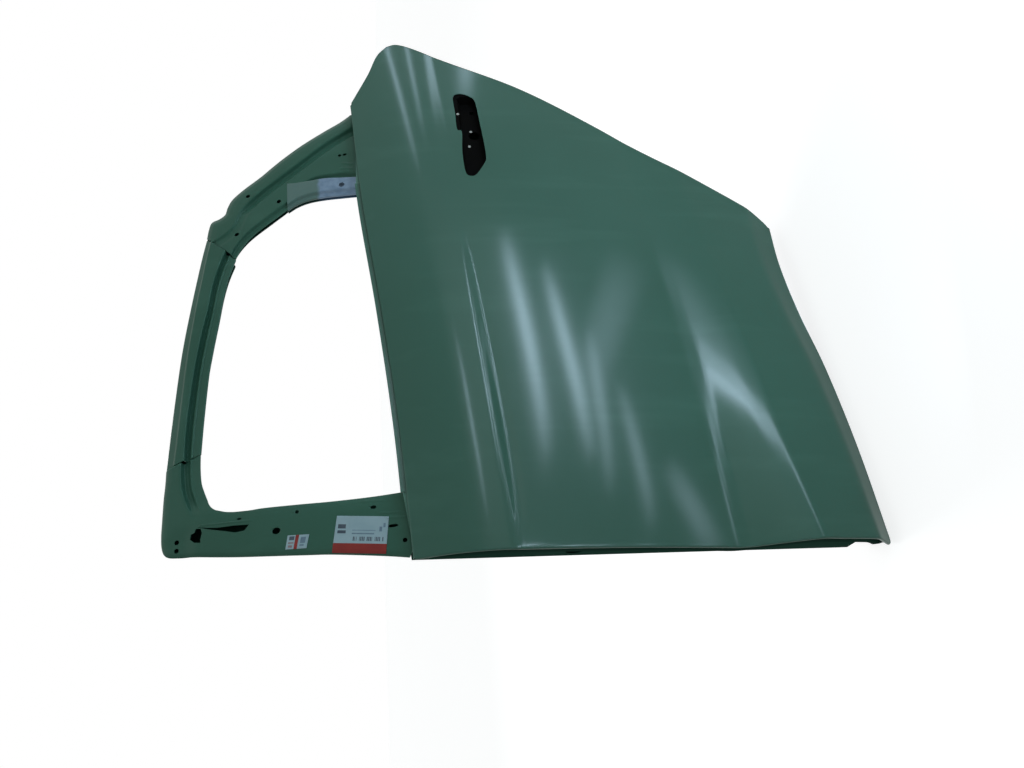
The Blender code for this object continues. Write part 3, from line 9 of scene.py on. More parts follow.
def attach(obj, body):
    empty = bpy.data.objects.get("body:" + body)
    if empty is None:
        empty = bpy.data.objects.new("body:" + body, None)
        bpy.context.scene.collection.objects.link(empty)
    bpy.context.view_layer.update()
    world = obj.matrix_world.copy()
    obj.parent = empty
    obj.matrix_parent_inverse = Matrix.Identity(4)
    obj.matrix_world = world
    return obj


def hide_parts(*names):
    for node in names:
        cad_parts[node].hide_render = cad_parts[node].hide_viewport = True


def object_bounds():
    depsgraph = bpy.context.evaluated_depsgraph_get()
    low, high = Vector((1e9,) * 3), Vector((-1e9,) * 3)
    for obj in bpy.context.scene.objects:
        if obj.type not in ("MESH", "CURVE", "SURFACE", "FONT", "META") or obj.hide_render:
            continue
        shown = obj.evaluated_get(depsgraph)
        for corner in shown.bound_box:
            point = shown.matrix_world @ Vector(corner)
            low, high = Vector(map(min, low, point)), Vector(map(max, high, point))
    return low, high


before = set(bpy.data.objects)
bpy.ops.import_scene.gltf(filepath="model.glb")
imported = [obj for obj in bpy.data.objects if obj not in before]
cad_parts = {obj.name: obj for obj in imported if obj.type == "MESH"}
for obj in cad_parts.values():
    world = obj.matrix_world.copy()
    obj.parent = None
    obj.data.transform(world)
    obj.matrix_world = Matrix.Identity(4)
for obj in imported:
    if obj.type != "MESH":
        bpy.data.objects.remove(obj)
CAD_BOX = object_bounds()

# The front upper corner of the skin: sizes below are measured from it
DATUM = Vector((-0.0212, -0.040, 0.165))

# Skin outline
BELT_LENGTH = 0.945
BELT_RISE = 0.0860
BELT_INSET = 0.014
TAIL_X = 1.0985
TAIL_Z = 0.010
BOTTOM_LENGTH = 0.620
DOOR_HEIGHT = 0.7215
BOTTOM_SWEEP = 0.0285
BELT_RISE_shares = ((0, 0), (0.22, 0.15), (0.46, 0.41), (0.73, 0.765), (1, 1))
TAIL_FALL_shares = ((0, 0), (0.50, 0.49), (0.86, 0.76), (1, 1))
BOTTOM_SWEEP_shares = ((0, 0), (0.26, 0.035), (0.50, 0.33), (0.69, 0.82), (0.86, 1.0), (1, 0.82))
REAR_EDGE_shares = (
    (0, 0), (0.026, -0.008), (0.07, 0.022), (0.198, 0.14), (0.374, 0.295),
    (0.567, 0.508), (0.704, 0.668), (0.839, 0.812), (0.957, 0.942), (1, 1),
)

# Body side section: how far each line lies below the belt datum and outboard of it, in pairs for
# the front and rear of the door
SHOULDER_DROPS = (0.146, 0.080)
SHOULDER_REACHES = (0.036, 0.014)
SHOULDER_BULGE = 0.010
UNDERCUT_WIDTH = 0.021
UNDERCUT_EDGE = 0.003
UNDERCUT_DEPTH = 0.007
UNDERCUT_LENGTH = 0.600
UNDERCUT_skew_share = 0.6
UNDERCUT_floor_share = 0.45
UNDERCUT_foot_share = 0.75
WAIST_BULGE = 0.005
UPPER_CREASE_DROPS = (0.480, 0.430)
UPPER_CREASE_REACHES = (0.012, 0.016)
FLANK_START_DROPS = (0.500, 0.455)
FLANK_END_DROPS = (0.560, 0.500)
LOWER_CREASE_DROPS = (0.594, 0.510)
FLARE_REACH = 0.034
FLARE_LENGTH = 0.560
FLARE_flank_share = 0.72
SILL_HEIGHT = 0.040
SILL_REACHES = (0.036, 0.004)
BOTTOM_TUCKS = (0.002, 0.010)
SIDE_CROWN = 0.006

# Sheet, hem and belt edge of the skin
SKIN_T = 0.0008
HEM_SEAT = 0.010
HEM_RADIUS = 0.0018
HEM_RETURN = 0.0075
HEM_STEPS = 6
BELT_LIP = 0.006
BELT_LIP_RISE = 0.0004
BELT_FLANGE = 0.009
WINDOW_FRONT_X = 0.1114
WINDOW_REAR_X = 0.7375

# Handle slot
SLOT_REAR_X = 0.9455
SLOT_LENGTH = 0.229
SLOT_TOP_DROP = 0.118
SLOT_HEIGHT = 0.0515
SLOT_CUT_Y = (-0.072, 0.036)
SLOT_OUTLINE_shares = (
    (0.04, 0.00), (0.24, 0.02), (0.445, 0.03), (0.48, 0.20), (0.70, 0.14), (0.81, 0.14),
    (0.935, 0.17), (0.985, 0.24), (1.00, 0.40), (0.985, 0.55), (0.93, 0.72), (0.84, 0.94),
    (0.78, 1.00), (0.63, 0.985), (0.39, 0.925), (0.11, 0.835), (0.035, 0.63), (0.00, 0.29),
)

# Window frame: its leaning plane and the depths of its sheets behind it
FRAME_SETBACK = 0.022
FRAME_LEAN = 0.28
FRAME_RADIUS = 3.18
FRAME_T = 0.0010
LIP_DEPTH = 0.010
HEADER_FOLD = 0.003
RUN_DEPTH = 0.019
RUN_LEG_INSET = 0.013
INNER_DEPTH = 0.0335
FLANGE_WIDTH = 0.012
FLANGE_DEPTH = 0.006
JOINT_GAP = 0.0010
TONGUE_DROP = 0.100
FRONT_RUN_DROP = 0.420
DIVISION_DROP = 0.345
TRIANGLE_DEPTH = 0.003
GROOVE_DEPTH = 0.010
PLATE_DEPTH = 0.002
RUN_LEG_LIFT = 0.0015
RUN_LEG_DEPTH = INNER_DEPTH - RUN_LEG_LIFT
FLANGE_SETBACK = 0.0018
INNER_WALL_LEAN = 0.008
FRONT_FOOT_X = 0.0224
FRONT_TONGUE_START = 0.0022
RUN_TONGUE_START = 0.003
REAR_TONGUE_START = 0.014
CORNER_RUN_STATIONS = 10

# Where each piece's outer edge and window edge lie, in pairs from front to rear or top to foot
FRONT_EDGES = (
    ((0.216, 0.406), (0.238, 0.347)), ((0.190, 0.405), (0.212, 0.345)),
    ((0.166, 0.405), (0.186, 0.341)), ((0.140, 0.404), (0.169, 0.335)),
    ((0.118, 0.403), (0.153, 0.328)), ((0.098, 0.402), (0.144, 0.324)),
    ((0.082, 0.400), (0.137, 0.319)), ((0.070, 0.395), (0.131, 0.312)),
    ((0.063, 0.386), (0.127, 0.302)), ((0.060, 0.370), (0.124, 0.293)),
    ((0.058, 0.352), (0.122, 0.282)), ((0.056, 0.336), (0.121, 0.272)),
    ((0.050, 0.298), (0.120, 0.252)), ((0.044, 0.254), (0.120, 0.228)),
    ((0.034, 0.164), (0.117, 0.172)), ((0.029, 0.119), (0.114, 0.120)),
    ((0.017, 0.042), (0.1125, 0.060)), ((0.010, 0.004), (0.1135, 0.010)),
)
HEADER_EDGES = (
    ((0.216, 0.406), (0.238, 0.347)), ((0.309, 0.405), (0.305, 0.347)),
    ((0.419, 0.402), (0.395, 0.345)), ((0.485, 0.398), (0.455, 0.340)),
    ((0.557, 0.391), (0.512, 0.334)), ((0.612, 0.385), (0.567, 0.328)),
    ((0.662, 0.379), (0.605, 0.321)), ((0.703, 0.373), (0.640, 0.310)),
)
REAR_EDGES = (
    ((0.703, 0.373), (0.640, 0.310)), ((0.725, 0.371), (0.655, 0.304)),
    ((0.742, 0.366), (0.668, 0.296)), ((0.747, 0.350), (0.680, 0.286)),
    ((0.755, 0.339), (0.692, 0.273)), ((0.772, 0.335), (0.703, 0.258)),
    ((0.790, 0.326), (0.712, 0.244)), ((0.809, 0.304), (0.722, 0.229)),
    ((0.832, 0.270), (0.735, 0.210)), ((0.850, 0.248), (0.745, 0.200)),
    ((0.870, 0.222), (0.766, 0.188)), ((0.894, 0.186), (0.785, 0.160)),
    ((0.919, 0.140), (0.784, 0.125)), ((0.934, 0.110), (0.780, 0.100)),
    ((0.949, 0.088), (0.774, 0.080)),
)
DIVISION_EDGES = (
    ((0.797, 0.214), (0.732, 0.211)), ((0.794, 0.195), (0.742, 0.192)),
    ((0.792, 0.171), (0.747, 0.168)), ((0.790, 0.139), (0.746, 0.137)),
    ((0.783, 0.107), (0.742, 0.104)), ((0.777, 0.077), (0.738, 0.072)),
)
GROOVE_EDGE = (
    (0.925, 0.060), (0.907, 0.094), (0.883, 0.138), (0.859, 0.172), (0.835, 0.205), (0.808, 0.244),
    (0.780, 0.281), (0.756, 0.303), (0.738, 0.312), (0.720, 0.318), (0.705, 0.331), (0.693, 0.352),
)

# Holes of the frame, as outlines in its plane
CRESCENT = (
    (0.104, 0.340), (0.096, 0.314), (0.090, 0.291), (0.085, 0.274), (0.086, 0.259), (0.095, 0.252),
    (0.097, 0.274), (0.098, 0.306), (0.102, 0.330),
)
TORN_HOLE = (
    (0.086, 0.350), (0.094, 0.349), (0.096, 0.343), (0.102, 0.341), (0.101, 0.333),
    (0.093, 0.330), (0.083, 0.332), (0.077, 0.331), (0.079, 0.342),
)
FRONT_HOLES = (
    ((0.0775, 0.207), (0.011, 0.013)), ((0.0850, 0.373), (0.008, 0.008)),
    ((0.0710, 0.372), (0.008, 0.008)), ((0.1070, 0.269), (0.004, 0.008)),
    ((0.1040, 0.175), (0.006, 0.006)), ((0.0940, 0.056), (0.006, 0.009)),
    ((0.0605, 0.027), (0.005, 0.016)), ((0.0360, 0.010), (0.007, 0.007)),
)
REAR_HOLES = (
    ((0.785, 0.293), (0.008, 0.009)), ((0.755, 0.229), (0.009, 0.009)),
    ((0.696, 0.311), (0.009, 0.009)), ((0.842, 0.109), (0.007, 0.007)),
    ((0.842, 0.099), (0.006, 0.008)),
)
DIVISION_HOLE = ((0.763, 0.105), (0.011, 0.011))
FRONT_BEADS = (
    ((0.1060, 0.076), (0.1030, 0.040)), ((0.0830, 0.046), (0.0810, 0.018)),
    ((0.0740, 0.036), (0.0720, 0.006)), ((0.1055, 0.106), (0.1040, 0.101)),
    ((0.0860, 0.213), (0.0720, 0.217)), ((0.1060, 0.335), (0.1010, 0.250)),
)
REAR_BEADS = (((0.820, 0.104), (0.812, 0.084)), ((0.807, 0.107), (0.801, 0.084)))
BEAD_HEIGHT = 0.0012
BEAD_REACH = 0.0022

# How the front panel is pressed: pairs of a distance from its window or outer edge and a depth
PILLAR_BENDS = (
    (0, 0.010), (0.0150, 0.010), (0.0165, 0.0075), (0.0180, 0.0085), (0.0205, 0.0125),
    (0.0290, 0.0125), (0.0330, 0.0010), (0.0370, 0),
)
FRONT_LIP_BENDS = ((0, 0.0035), (0.004, 0.0018), (0.012, 0.0004), (0.020, 0))
FRONT_EDGE_BENDS = ((0, 0.005), (0.002, 0.0028), (0.006, 0.0008), (0.012, 0))
# The header's lines fade in between these places, and so does the pressed front corner
PILLAR_FADE_X = (0.118, 0.160)
PILLAR_FADE_Z = (0.300, 0.335)
CORNER_DEPTH = 0.004
CORNER_LEVEL = 0.40
CORNER_slope_share = 0.25
CORNER_FADE_X = (0.110, 0.072)
CORNER_FADE_Z = (0.335, 0.362)

# How the rear corner is pressed: the groove's shares of depth and the raised band beside it
GROOVE_FLOOR_shares = ((0.0, 0), (0.004, 1), (0.015, 1), (0.021, 0))
RAISED_BAND_BENDS = ((-0.003, 0), (-0.001, -0.0008), (0.0, 0), (0.003, TRIANGLE_DEPTH))
REAR_LIP_BENDS = ((0, LIP_DEPTH), (0.0105, LIP_DEPTH), (0.0150, 0))
REAR_EDGE_BENDS = ((0, 0.0055), (0.003, 0.0035), (0.009, 0.0012), (0.020, 0))
GROOVE_SHALLOW_STEP = 0.001
GROOVE_DEEPENS_X = (0.735, 0.775)

# Sections across the frame's pieces, outwards from the window edge. Each bend has its share of
# the piece's width, its offset from there and its depth.
INNER_SECTION = (
    (0, RUN_LEG_INSET, INNER_DEPTH), (1, -FLANGE_WIDTH - INNER_WALL_LEAN, INNER_DEPTH),
    (1, -FLANGE_WIDTH - FRAME_T, FLANGE_DEPTH + FLANGE_SETBACK),
    (1, -FRAME_T, FLANGE_DEPTH + FLANGE_SETBACK),
)
RUN_SECTION = (
    (0, RUN_LEG_INSET, RUN_LEG_DEPTH), (0, RUN_DEPTH, RUN_LEG_DEPTH),
    (0, RUN_DEPTH, LIP_DEPTH + HEADER_FOLD), (0, FRAME_T, LIP_DEPTH + HEADER_FOLD),
)
HEADER_SECTION = RUN_SECTION[:3] + (
    (0, 0, LIP_DEPTH + HEADER_FOLD), (0, 0, LIP_DEPTH), (0, 0.0145, LIP_DEPTH), (0, 0.0160, 0.0070),
    (0, 0.0175, 0.0085), (0, 0.0200, 0.0130), (0, 0.0270, 0.0130), (0, 0.0300, 0.0005),
    (1, -0.0160, 0), (1, -0.0140, 0.0030), (1, 0, 0.0085), (1, 0, 0.0110), (1, -0.0140, 0.0110),
    (1, -0.0160, INNER_DEPTH), (0, 0.0060, INNER_DEPTH + FRAME_T),
)
DIVISION_SECTION = RUN_SECTION[:3] + (
    (0, 0, LIP_DEPTH + HEADER_FOLD), (0, 0, LIP_DEPTH - 0.0015), (0, 0.0070, LIP_DEPTH - 0.0020),
    (0, 0.0105, PLATE_DEPTH), (1, -0.0050, PLATE_DEPTH), (1, 0, PLATE_DEPTH + 0.0006),
    (1, 0, PLATE_DEPTH + 0.0025), (1, -0.0070, PLATE_DEPTH + 0.0025), (1, -0.0075, INNER_DEPTH),
    (1, -0.0170, INNER_DEPTH),
)

# Fine mesh of the frame
FRAME_ROWS = 230
FRAME_COLUMNS = 76
SECTION_STEP = 0.0014
SECTION_ROUNDING = 0.0009
HOLE_POINTS = 16
HOLE_REACH = (-LIP_DEPTH / 2, 2 * LIP_DEPTH)
GROOVE_POINTS = 90
EDGE_STRIDE = 3
BEND_TAPS = (-1.5, -0.75, 0, 0.75, 1.5)
STRETCH_shares = (0.45, 0.70)

# Fine mesh of the skin
SKIN_COLUMNS = 150
SKIN_ROWS = 170
EDGE_INSETS = (0.0, 0.002, 0.004, 0.006, 0.008, 0.010)
CREASE_SPREAD = 0.0045
CREASE_TAPS = 9
CREASE_TAP_REACH = 2.2
NORMAL_STEP = 0.002
EDGE_HALVINGS = 40
SHARP_DEGREES = 35
SLOT_POINTS_BETWEEN = 5


def lerp(first, last, share):
    return first + (last - first) * share


def on_table(table, share):
    """Height of a smooth curve through a table of (place, height) shares, for arrays too."""
    place, height = np.array(table, float).T
    share = np.clip(share, place[0], place[-1])
    last = len(place) - 1
    k = np.clip(np.searchsorted(place, share, side="right") - 1, 0, last - 1)
    i = np.arange(last + 1)
    after, before = np.minimum(i + 1, last), np.maximum(i - 1, 0)
    slope = (height[after] - height[before]) / (place[after] - place[before])
    step = place[k + 1] - place[k]
    t = (share - place[k]) / step
    rise = step * (slope[k] * (t - 2 * t**2 + t**3) + slope[k + 1] * (t**3 - t**2))
    return height[k] + (height[k + 1] - height[k]) * (3 * t**2 - 2 * t**3) + rise


def between(a, b, c, d, t):
    """A place on the smooth curve from b to c, which passes a before them and d after."""
    bent = b + (c - a) * t / 2 + (a - 2.5 * b + 2 * c - d / 2) * t**2
    return bent + (1.5 * b - a / 2 - 1.5 * c + d / 2) * t**3


# Lines and section of the body side


def belt_line(x):
    x = np.asarray(x, float)
    straight = BELT_RISE * x / BELT_LENGTH
    curved = BELT_RISE * on_table(BELT_RISE_shares, x / BELT_LENGTH)
    return np.where(x > BELT_LENGTH, straight, curved)


def top_line(x):
    x = np.asarray(x, float)
    share = on_table(TAIL_FALL_shares, (x - BELT_LENGTH) / (TAIL_X - BELT_LENGTH))
    return np.where(x <= BELT_LENGTH, belt_line(x), lerp(BELT_RISE, TAIL_Z, share))


def bottom_line(x):
    return -DOOR_HEIGHT + BOTTOM_SWEEP * on_table(BOTTOM_SWEEP_shares, x / BOTTOM_LENGTH)


def side_section(x):
    """The section at x: (height, y, bulge towards the next line) from the belt down."""
    along = x / TAIL_X
    swell = np.sin(math.pi * np.clip(x / UNDERCUT_LENGTH, 0, 1) ** UNDERCUT_skew_share)
    shoulder = -lerp(*SHOULDER_DROPS, along)
    shoulder_y = -lerp(*SHOULDER_REACHES, along)
    foot = shoulder - UNDERCUT_EDGE - UNDERCUT_WIDTH * swell
    undercut = UNDERCUT_DEPTH * swell
    crease_y = -lerp(*UPPER_CREASE_REACHES, along)
    fade = np.maximum(1 - x / FLARE_LENGTH, 0)
    along_bottom = np.minimum(x / BOTTOM_LENGTH, 1)
    return (
        (belt_line(x), BELT_INSET * x / BELT_LENGTH, SHOULDER_BULGE),
        (shoulder, shoulder_y, 0),
        (lerp(shoulder, foot, UNDERCUT_floor_share), shoulder_y + undercut, 0),
        (foot, shoulder_y + undercut * UNDERCUT_foot_share, WAIST_BULGE),
        (-lerp(*UPPER_CREASE_DROPS, along), crease_y, 0),
        (-lerp(*FLANK_START_DROPS, along), crease_y - fade * UNDERCUT_EDGE, 0),
        (-lerp(*FLANK_END_DROPS, along), crease_y - fade * FLARE_REACH * FLARE_flank_share, 0),
        (-lerp(*LOWER_CREASE_DROPS, along), crease_y - fade * FLARE_REACH, 0),
        (bottom_line(x) + SILL_HEIGHT, -lerp(*SILL_REACHES, along_bottom), 0),
        (bottom_line(x), lerp(*BOTTOM_TUCKS, along_bottom), 0),
    )


def sharp_y(section, z):
    """Outer face of the body side with sharp creases."""
    y = 0
    for k, ((high, y_high, bulge), (low, y_low, _)) in enumerate(zip(section, section[1:])):
        share = (high - z) / (high - low)
        arch = np.maximum(share * (1 - share), 0)
        piece = lerp(y_high, y_low, share) - 4 * bulge * arch
        y = piece if k == 0 else np.where(z < high, piece, y)
    return y


def skin_y(x, z):
    """Outer face of the body side: each crease is rounded over a few millimetres."""
    x = np.asarray(x, float)
    section = side_section(x)
    total, weights = 0, 0
    for k in range(CREASE_TAPS):
        step = lerp(-CREASE_TAP_REACH, CREASE_TAP_REACH, k / (CREASE_TAPS - 1))
        weight = math.exp(-step * step / 2)
        total = total + weight * sharp_y(section, z + step * CREASE_SPREAD)
        weights += weight
    crown = SIDE_CROWN * np.sin(math.pi * np.minimum(x / TAIL_X, 1))
    return total / weights - crown


def inboard_normals(x, z):
    slope_x = (skin_y(x + NORMAL_STEP, z) - skin_y(x - NORMAL_STEP, z)) / (2 * NORMAL_STEP)
    slope_z = (skin_y(x, z + NORMAL_STEP) - skin_y(x, z - NORMAL_STEP)) / (2 * NORMAL_STEP)
    normals = np.stack([-slope_x, np.ones_like(slope_x), -slope_z], axis=-1)
    return normals / np.linalg.norm(normals, axis=-1, keepdims=True)


def rear_edge(share):
    x = lerp(TAIL_X, BOTTOM_LENGTH, on_table(REAR_EDGE_shares, share))
    return x, lerp(TAIL_Z, bottom_line(BOTTOM_LENGTH), share)


def row_ends(shares):
    """Where each row, a share of the way from the top line to the bottom one, meets the rear edge."""
    low, high = np.zeros_like(shares), np.ones_like(shares)
    for _ in range(EDGE_HALVINGS):
        middle = (low + high) / 2
        x, z = rear_edge(middle)
        inside = np.minimum(x, TAIL_X)
        above = z > lerp(top_line(inside), bottom_line(inside), shares)
        low, high = np.where(above, middle, low), np.where(above, high, middle)
    return rear_edge(low)[0]


def rounded_corner(x, z, corner, along, up):
    """Rounds off the plan's corner, whose edges run from it by the vectors along and up."""
    matrix = np.linalg.inv(np.array([along, up]).T)
    u, v = matrix @ np.stack([(x - corner[0]).ravel(), (z - corner[1]).ravel()])
    near = (u < 1) & (v < 1) & (u > -1e-6) & (v > -1e-6)
    layer = np.minimum(u, v)
    path = np.where(v > u, 1 - v, 1 - layer + u - layer)
    turn = path / np.maximum(2 * (1 - layer), 1e-9) * math.pi / 2
    round_u = 1 - (1 - layer) * np.cos(turn)
    round_v = 1 - (1 - layer) * np.sin(turn)
    u, v = np.where(near, round_u, u), np.where(near, round_v, v)
    plan = np.array([along, up]).T @ np.stack([u, v])
    return (plan[0] + corner[0]).reshape(x.shape), (plan[1] + corner[1]).reshape(z.shape)


def spaced(count, first_insets, length):
    """Shares from 0 to 1, close together at both ends."""
    insets = np.array(first_insets) / length
    middle = np.linspace(insets[-1], 1 - insets[-1], count)[1:-1]
    return np.concatenate([insets, middle, 1 - insets[::-1]])


def skin_plan():
    """x and z of the grid of the skin, and the column of the belt's rear end."""
    rows = spaced(SKIN_ROWS, EDGE_INSETS, DOOR_HEIGHT)
    columns = spaced(SKIN_COLUMNS, EDGE_INSETS, TAIL_X)
    kink_share = BELT_LENGTH / TAIL_X
    kink = int(np.argmin(abs(columns - kink_share)))
    columns[kink] = kink_share
    x = row_ends(rows)[None, :] * columns[:, None]
    z = lerp(top_line(x), bottom_line(x), rows[None, :])
    foot = float(bottom_line(0.0))
    x, z = rounded_corner(x, z, (0.0, foot), (HEM_SEAT, 0.0), (0.0, HEM_SEAT))
    corner = Vector((BOTTOM_LENGTH, float(bottom_line(BOTTOM_LENGTH))))
    ahead = Vector((corner.x - HEM_SEAT, float(bottom_line(corner.x - HEM_SEAT))))
    share = 1 - HEM_SEAT / (DOOR_HEIGHT + TAIL_Z)
    above = Vector([float(value) for value in rear_edge(share)])
    x, z = rounded_corner(x, z, tuple(corner), tuple(ahead - corner), tuple(above - corner))
    return x, z, kink


# Mesh helpers


def mesh_data(mesh, name, origin=DATUM):
    """Turns a bmesh into mesh data, moved from where it was measured to its place in the frame."""
    mesh.transform(Matrix.Translation(origin))
    data = bpy.data.meshes.new(name)
    mesh.to_mesh(data)
    mesh.free()
    return data


def link_object(name, data):
    obj = bpy.data.objects.new(name, data)
    bpy.context.scene.collection.objects.link(obj)
    return obj


def add_object(name, data, finish):
    """A piece of the looks. Its finish is a slot, which is not used, and a material, or None if it
    brings its own.
    """
    slot, material = finish
    obj = link_object(name, data)
    if material:
        data.materials.append(material)
    data.shade_smooth()
    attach(obj, "root")
    return obj


def grid_mesh(points):
    """A bmesh sheet through an array of points, columns by rows, and its vertices by place."""
    mesh = bmesh.new()
    columns, rows = points.shape[:2]
    at = [[mesh.verts.new(points[i, j]) for j in range(rows)] for i in range(columns)]
    for i in range(columns - 1):
        for j in range(rows - 1):
            mesh.faces.new((at[i][j], at[i][j + 1], at[i + 1][j + 1], at[i + 1][j]))
    return mesh, at


def grow_edge(mesh, chain, places):
    """Adds a strip of faces from a chain of vertices to new ones at the given places."""
    grown = [mesh.verts.new(place) for place in places]
    for first, second, new_second, new_first in zip(chain, chain[1:], grown[1:], grown):
        mesh.faces.new((first, second, new_second, new_first))
    return grown


def fold_frames(points, normals):
    """Outward direction at each point along an edge, lengthened at the corners."""
    frames = []
    for k, normal in enumerate(normals):
        before = (points[k] - points[max(k - 1, 0)]).normalized()
        after = (points[min(k + 1, len(points) - 1)] - points[k]).normalized()
        before = after if k == 0 else before
        after = before if k == len(points) - 1 else after
        outward = normal.cross(before + after).normalized()
        frames.append(outward / math.sqrt((1 + before.dot(after)) / 2))
    return frames


def surface_normal(point):
    return Vector(inboard_normals(np.array([point.x]), np.array([point.z]))[0])


def grow_hem(mesh, chain):
    """Folds the skin's edge back over the flange of the inner panel."""
    points = [vertex.co.copy() for vertex in chain]
    normals = [surface_normal(point) for point in points]
    outward = fold_frames(points, normals)
    for step in range(1, HEM_STEPS + 1):
        angle = math.pi * step / HEM_STEPS
        out, back = HEM_RADIUS * math.sin(angle), HEM_RADIUS * (1 - math.cos(angle))
        places = [p + o * out + n * back for p, o, n in zip(points, outward, normals)]
        chain = grow_edge(mesh, chain, places)
    inset = [p - o * HEM_RETURN for p, o in zip(points, outward)]
    places = []
    for point in inset:
        y = float(skin_y(point.x, point.z))
        places.append(Vector((point.x, y, point.z)) + surface_normal(point) * 2 * HEM_RADIUS)
    grow_edge(mesh, chain, places)


def slot_outline():
    """The handle slot's outline as a closed smooth curve."""
    corners = np.array(SLOT_OUTLINE_shares) * (SLOT_LENGTH, SLOT_HEIGHT)
    made = []
    for k in range(len(corners)):
        near = [corners[(k + step) % len(corners)] for step in (-1, 0, 1, 2)]
        for step in range(SLOT_POINTS_BETWEEN):
            ahead, below = between(*near, step / SLOT_POINTS_BETWEEN)
            made.append((SLOT_REAR_X - ahead, -SLOT_TOP_DROP - below))
    return made


def face_outboard(mesh):
    """Turns a sheet's faces over if most of it looks into the cabin."""
    mesh.normal_update()
    if sum(face.normal.y * face.calc_area() for face in mesh.faces) > 0:
        bmesh.ops.reverse_faces(mesh, faces=mesh.faces[:])


def apply_modifiers(obj):
    graph = bpy.context.evaluated_depsgraph_get()
    data = bpy.data.meshes.new_from_object(obj.evaluated_get(graph))
    obj.modifiers.clear()
    obj.data = data


def thicken(obj, thickness, side):
    """Makes a sheet of a surface: it grows inboard of it for -1 and outboard for 1."""
    sheet = obj.modifiers.new("sheet", "SOLIDIFY")
    sheet.thickness = thickness
    sheet.offset = side


def add_prism(mesh, near, far):
    """Adds a closed prism between two outlines."""
    sides = [[mesh.verts.new(place) for place in outline] for outline in (near, far)]
    faces = [mesh.faces.new(side) for side in sides]
    walls = zip(sides[0], sides[0][1:] + sides[0][:1], sides[1][1:] + sides[1][:1], sides[1])
    faces += [mesh.faces.new(corners) for corners in walls]
    bmesh.ops.recalc_face_normals(mesh, faces=faces)


def cut(obj, mesh, name):
    """Takes a mesh of prisms out of an object, with its other modifiers applied first."""
    cutter = link_object(name, mesh_data(mesh, name))
    hole = obj.modifiers.new(name, "BOOLEAN")
    hole.operation = "DIFFERENCE"
    hole.object = cutter
    apply_modifiers(obj)
    bpy.data.objects.remove(cutter)


def build_skin(material):
    """The outer panel with its hem, belt edge and handle slot."""
    x, z, kink = skin_plan()
    points = np.stack([x, skin_y(x, z), z], axis=-1)
    mesh, at = grid_mesh(points)
    last_column, last_row = len(at) - 1, len(at[0]) - 1
    front = [at[0][j] for j in range(1, last_row)]
    bottom = [at[i][last_row] for i in range(last_column)]
    rear = [at[last_column][j] for j in range(last_row, 0, -1)]
    tail = [at[i][0] for i in range(last_column, kink, -1)]
    grow_hem(mesh, front + bottom + rear + tail)
    belt = [at[i][0] for i in range(kink + 1)]
    lip = Vector((0, BELT_LIP, BELT_LIP_RISE))
    rounding = Vector((0, SKIN_T, SKIN_T))
    bend = grow_edge(mesh, belt, [vertex.co + rounding for vertex in belt])
    rim = grow_edge(mesh, bend, [vertex.co + lip for vertex in belt])
    flange = [v for v in rim if WINDOW_FRONT_X - HEM_SEAT < v.co.x < WINDOW_REAR_X]
    grow_edge(mesh, flange, [v.co + Vector((0, 0, BELT_FLANGE)) for v in flange])
    face_outboard(mesh)
    data = mesh_data(mesh, "outer_skin_surface")
    skin = add_object("outer_skin_surface", data, ("green_electrocoat", material))
    thicken(skin, SKIN_T, -1)
    slot = bmesh.new()
    add_prism(slot, *([(x, y, z) for x, z in slot_outline()] for y in SLOT_CUT_Y))
    cut(skin, slot, "handle_slot")
    skin.data.shade_smooth()
    skin.data.set_sharp_from_angle(angle=math.radians(SHARP_DEGREES))
    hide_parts("outer_skin")


# Pale dots in the handle cup: painted light, small pale domes where light shows through the bracket's
# holes
CUP_LIGHT_DOTS = ((0.8875, -0.0212, -0.1243), (0.8519, -0.0090, -0.1486), (0.8109, -0.0099, -0.1428))
LIGHT_DOT_RADIUS = 0.0030
LIGHT_DOT_HEIGHT = 0.0010
LIGHT_DOT_SEGMENTS = 24


def build_cup_light_dots(material):
    # Each dot is a pale dome that paints the light seen through a hole
    for k, place in enumerate(CUP_LIGHT_DOTS):
        mesh = bmesh.new()
        bmesh.ops.create_uvsphere(
            mesh, u_segments=LIGHT_DOT_SEGMENTS, v_segments=LIGHT_DOT_SEGMENTS // 2, radius=1.0,
        )
        mesh.transform(Matrix.Diagonal((LIGHT_DOT_RADIUS, LIGHT_DOT_HEIGHT, LIGHT_DOT_RADIUS, 1)))
        name = f"cup_light_dot_{k + 1}"
        add_object(name, mesh_data(mesh, name, DATUM + Vector(place)), ("zinc_plate", material))


# Step of the front wall, just behind the skin's front edge
STEP_TOP = -0.014
STEP_FOOT = -0.716
STEP_RAMP = 0.030
STEP_ROWS = 160
STEP_SECTION = (
    (0.0095, 0.0042), (0.0035, 0.0050), (0.0050, 0.0075), (0.0085, 0.0130), (0.0060, 0.0175),
    (0.0028, 0.0210), (0.0025, 0.0290), (0.0045, 0.0315), (0.0100, 0.0330), (0.0205, 0.0330),
)


def build_front_step(material):
    """The inner panel's step: it keeps a constant depth behind the skin's front edge."""
    z = np.linspace(STEP_TOP, STEP_FOOT, STEP_ROWS)
    section = np.array(STEP_SECTION)
    ramp = smooth_step(STEP_TOP - z, 0, STEP_RAMP) * smooth_step(z - STEP_FOOT, 0, STEP_RAMP)
    x = np.broadcast_to(section[:, :1], (len(section), len(z)))
    depth = np.minimum(section[:, 1:], lerp(section[1, 1], section[-1, 1], ramp[None, :]))
    y = skin_y(np.zeros_like(z), z)[None, :] + depth
    points = np.stack([x, y, np.broadcast_to(z, x.shape)], axis=-1)
    # Its finish is a darker copy of the green coat: painted shade behind the hem
    sheet_object("front_step_surface", points, ("inner_electrocoat", material), None)


# Window frame


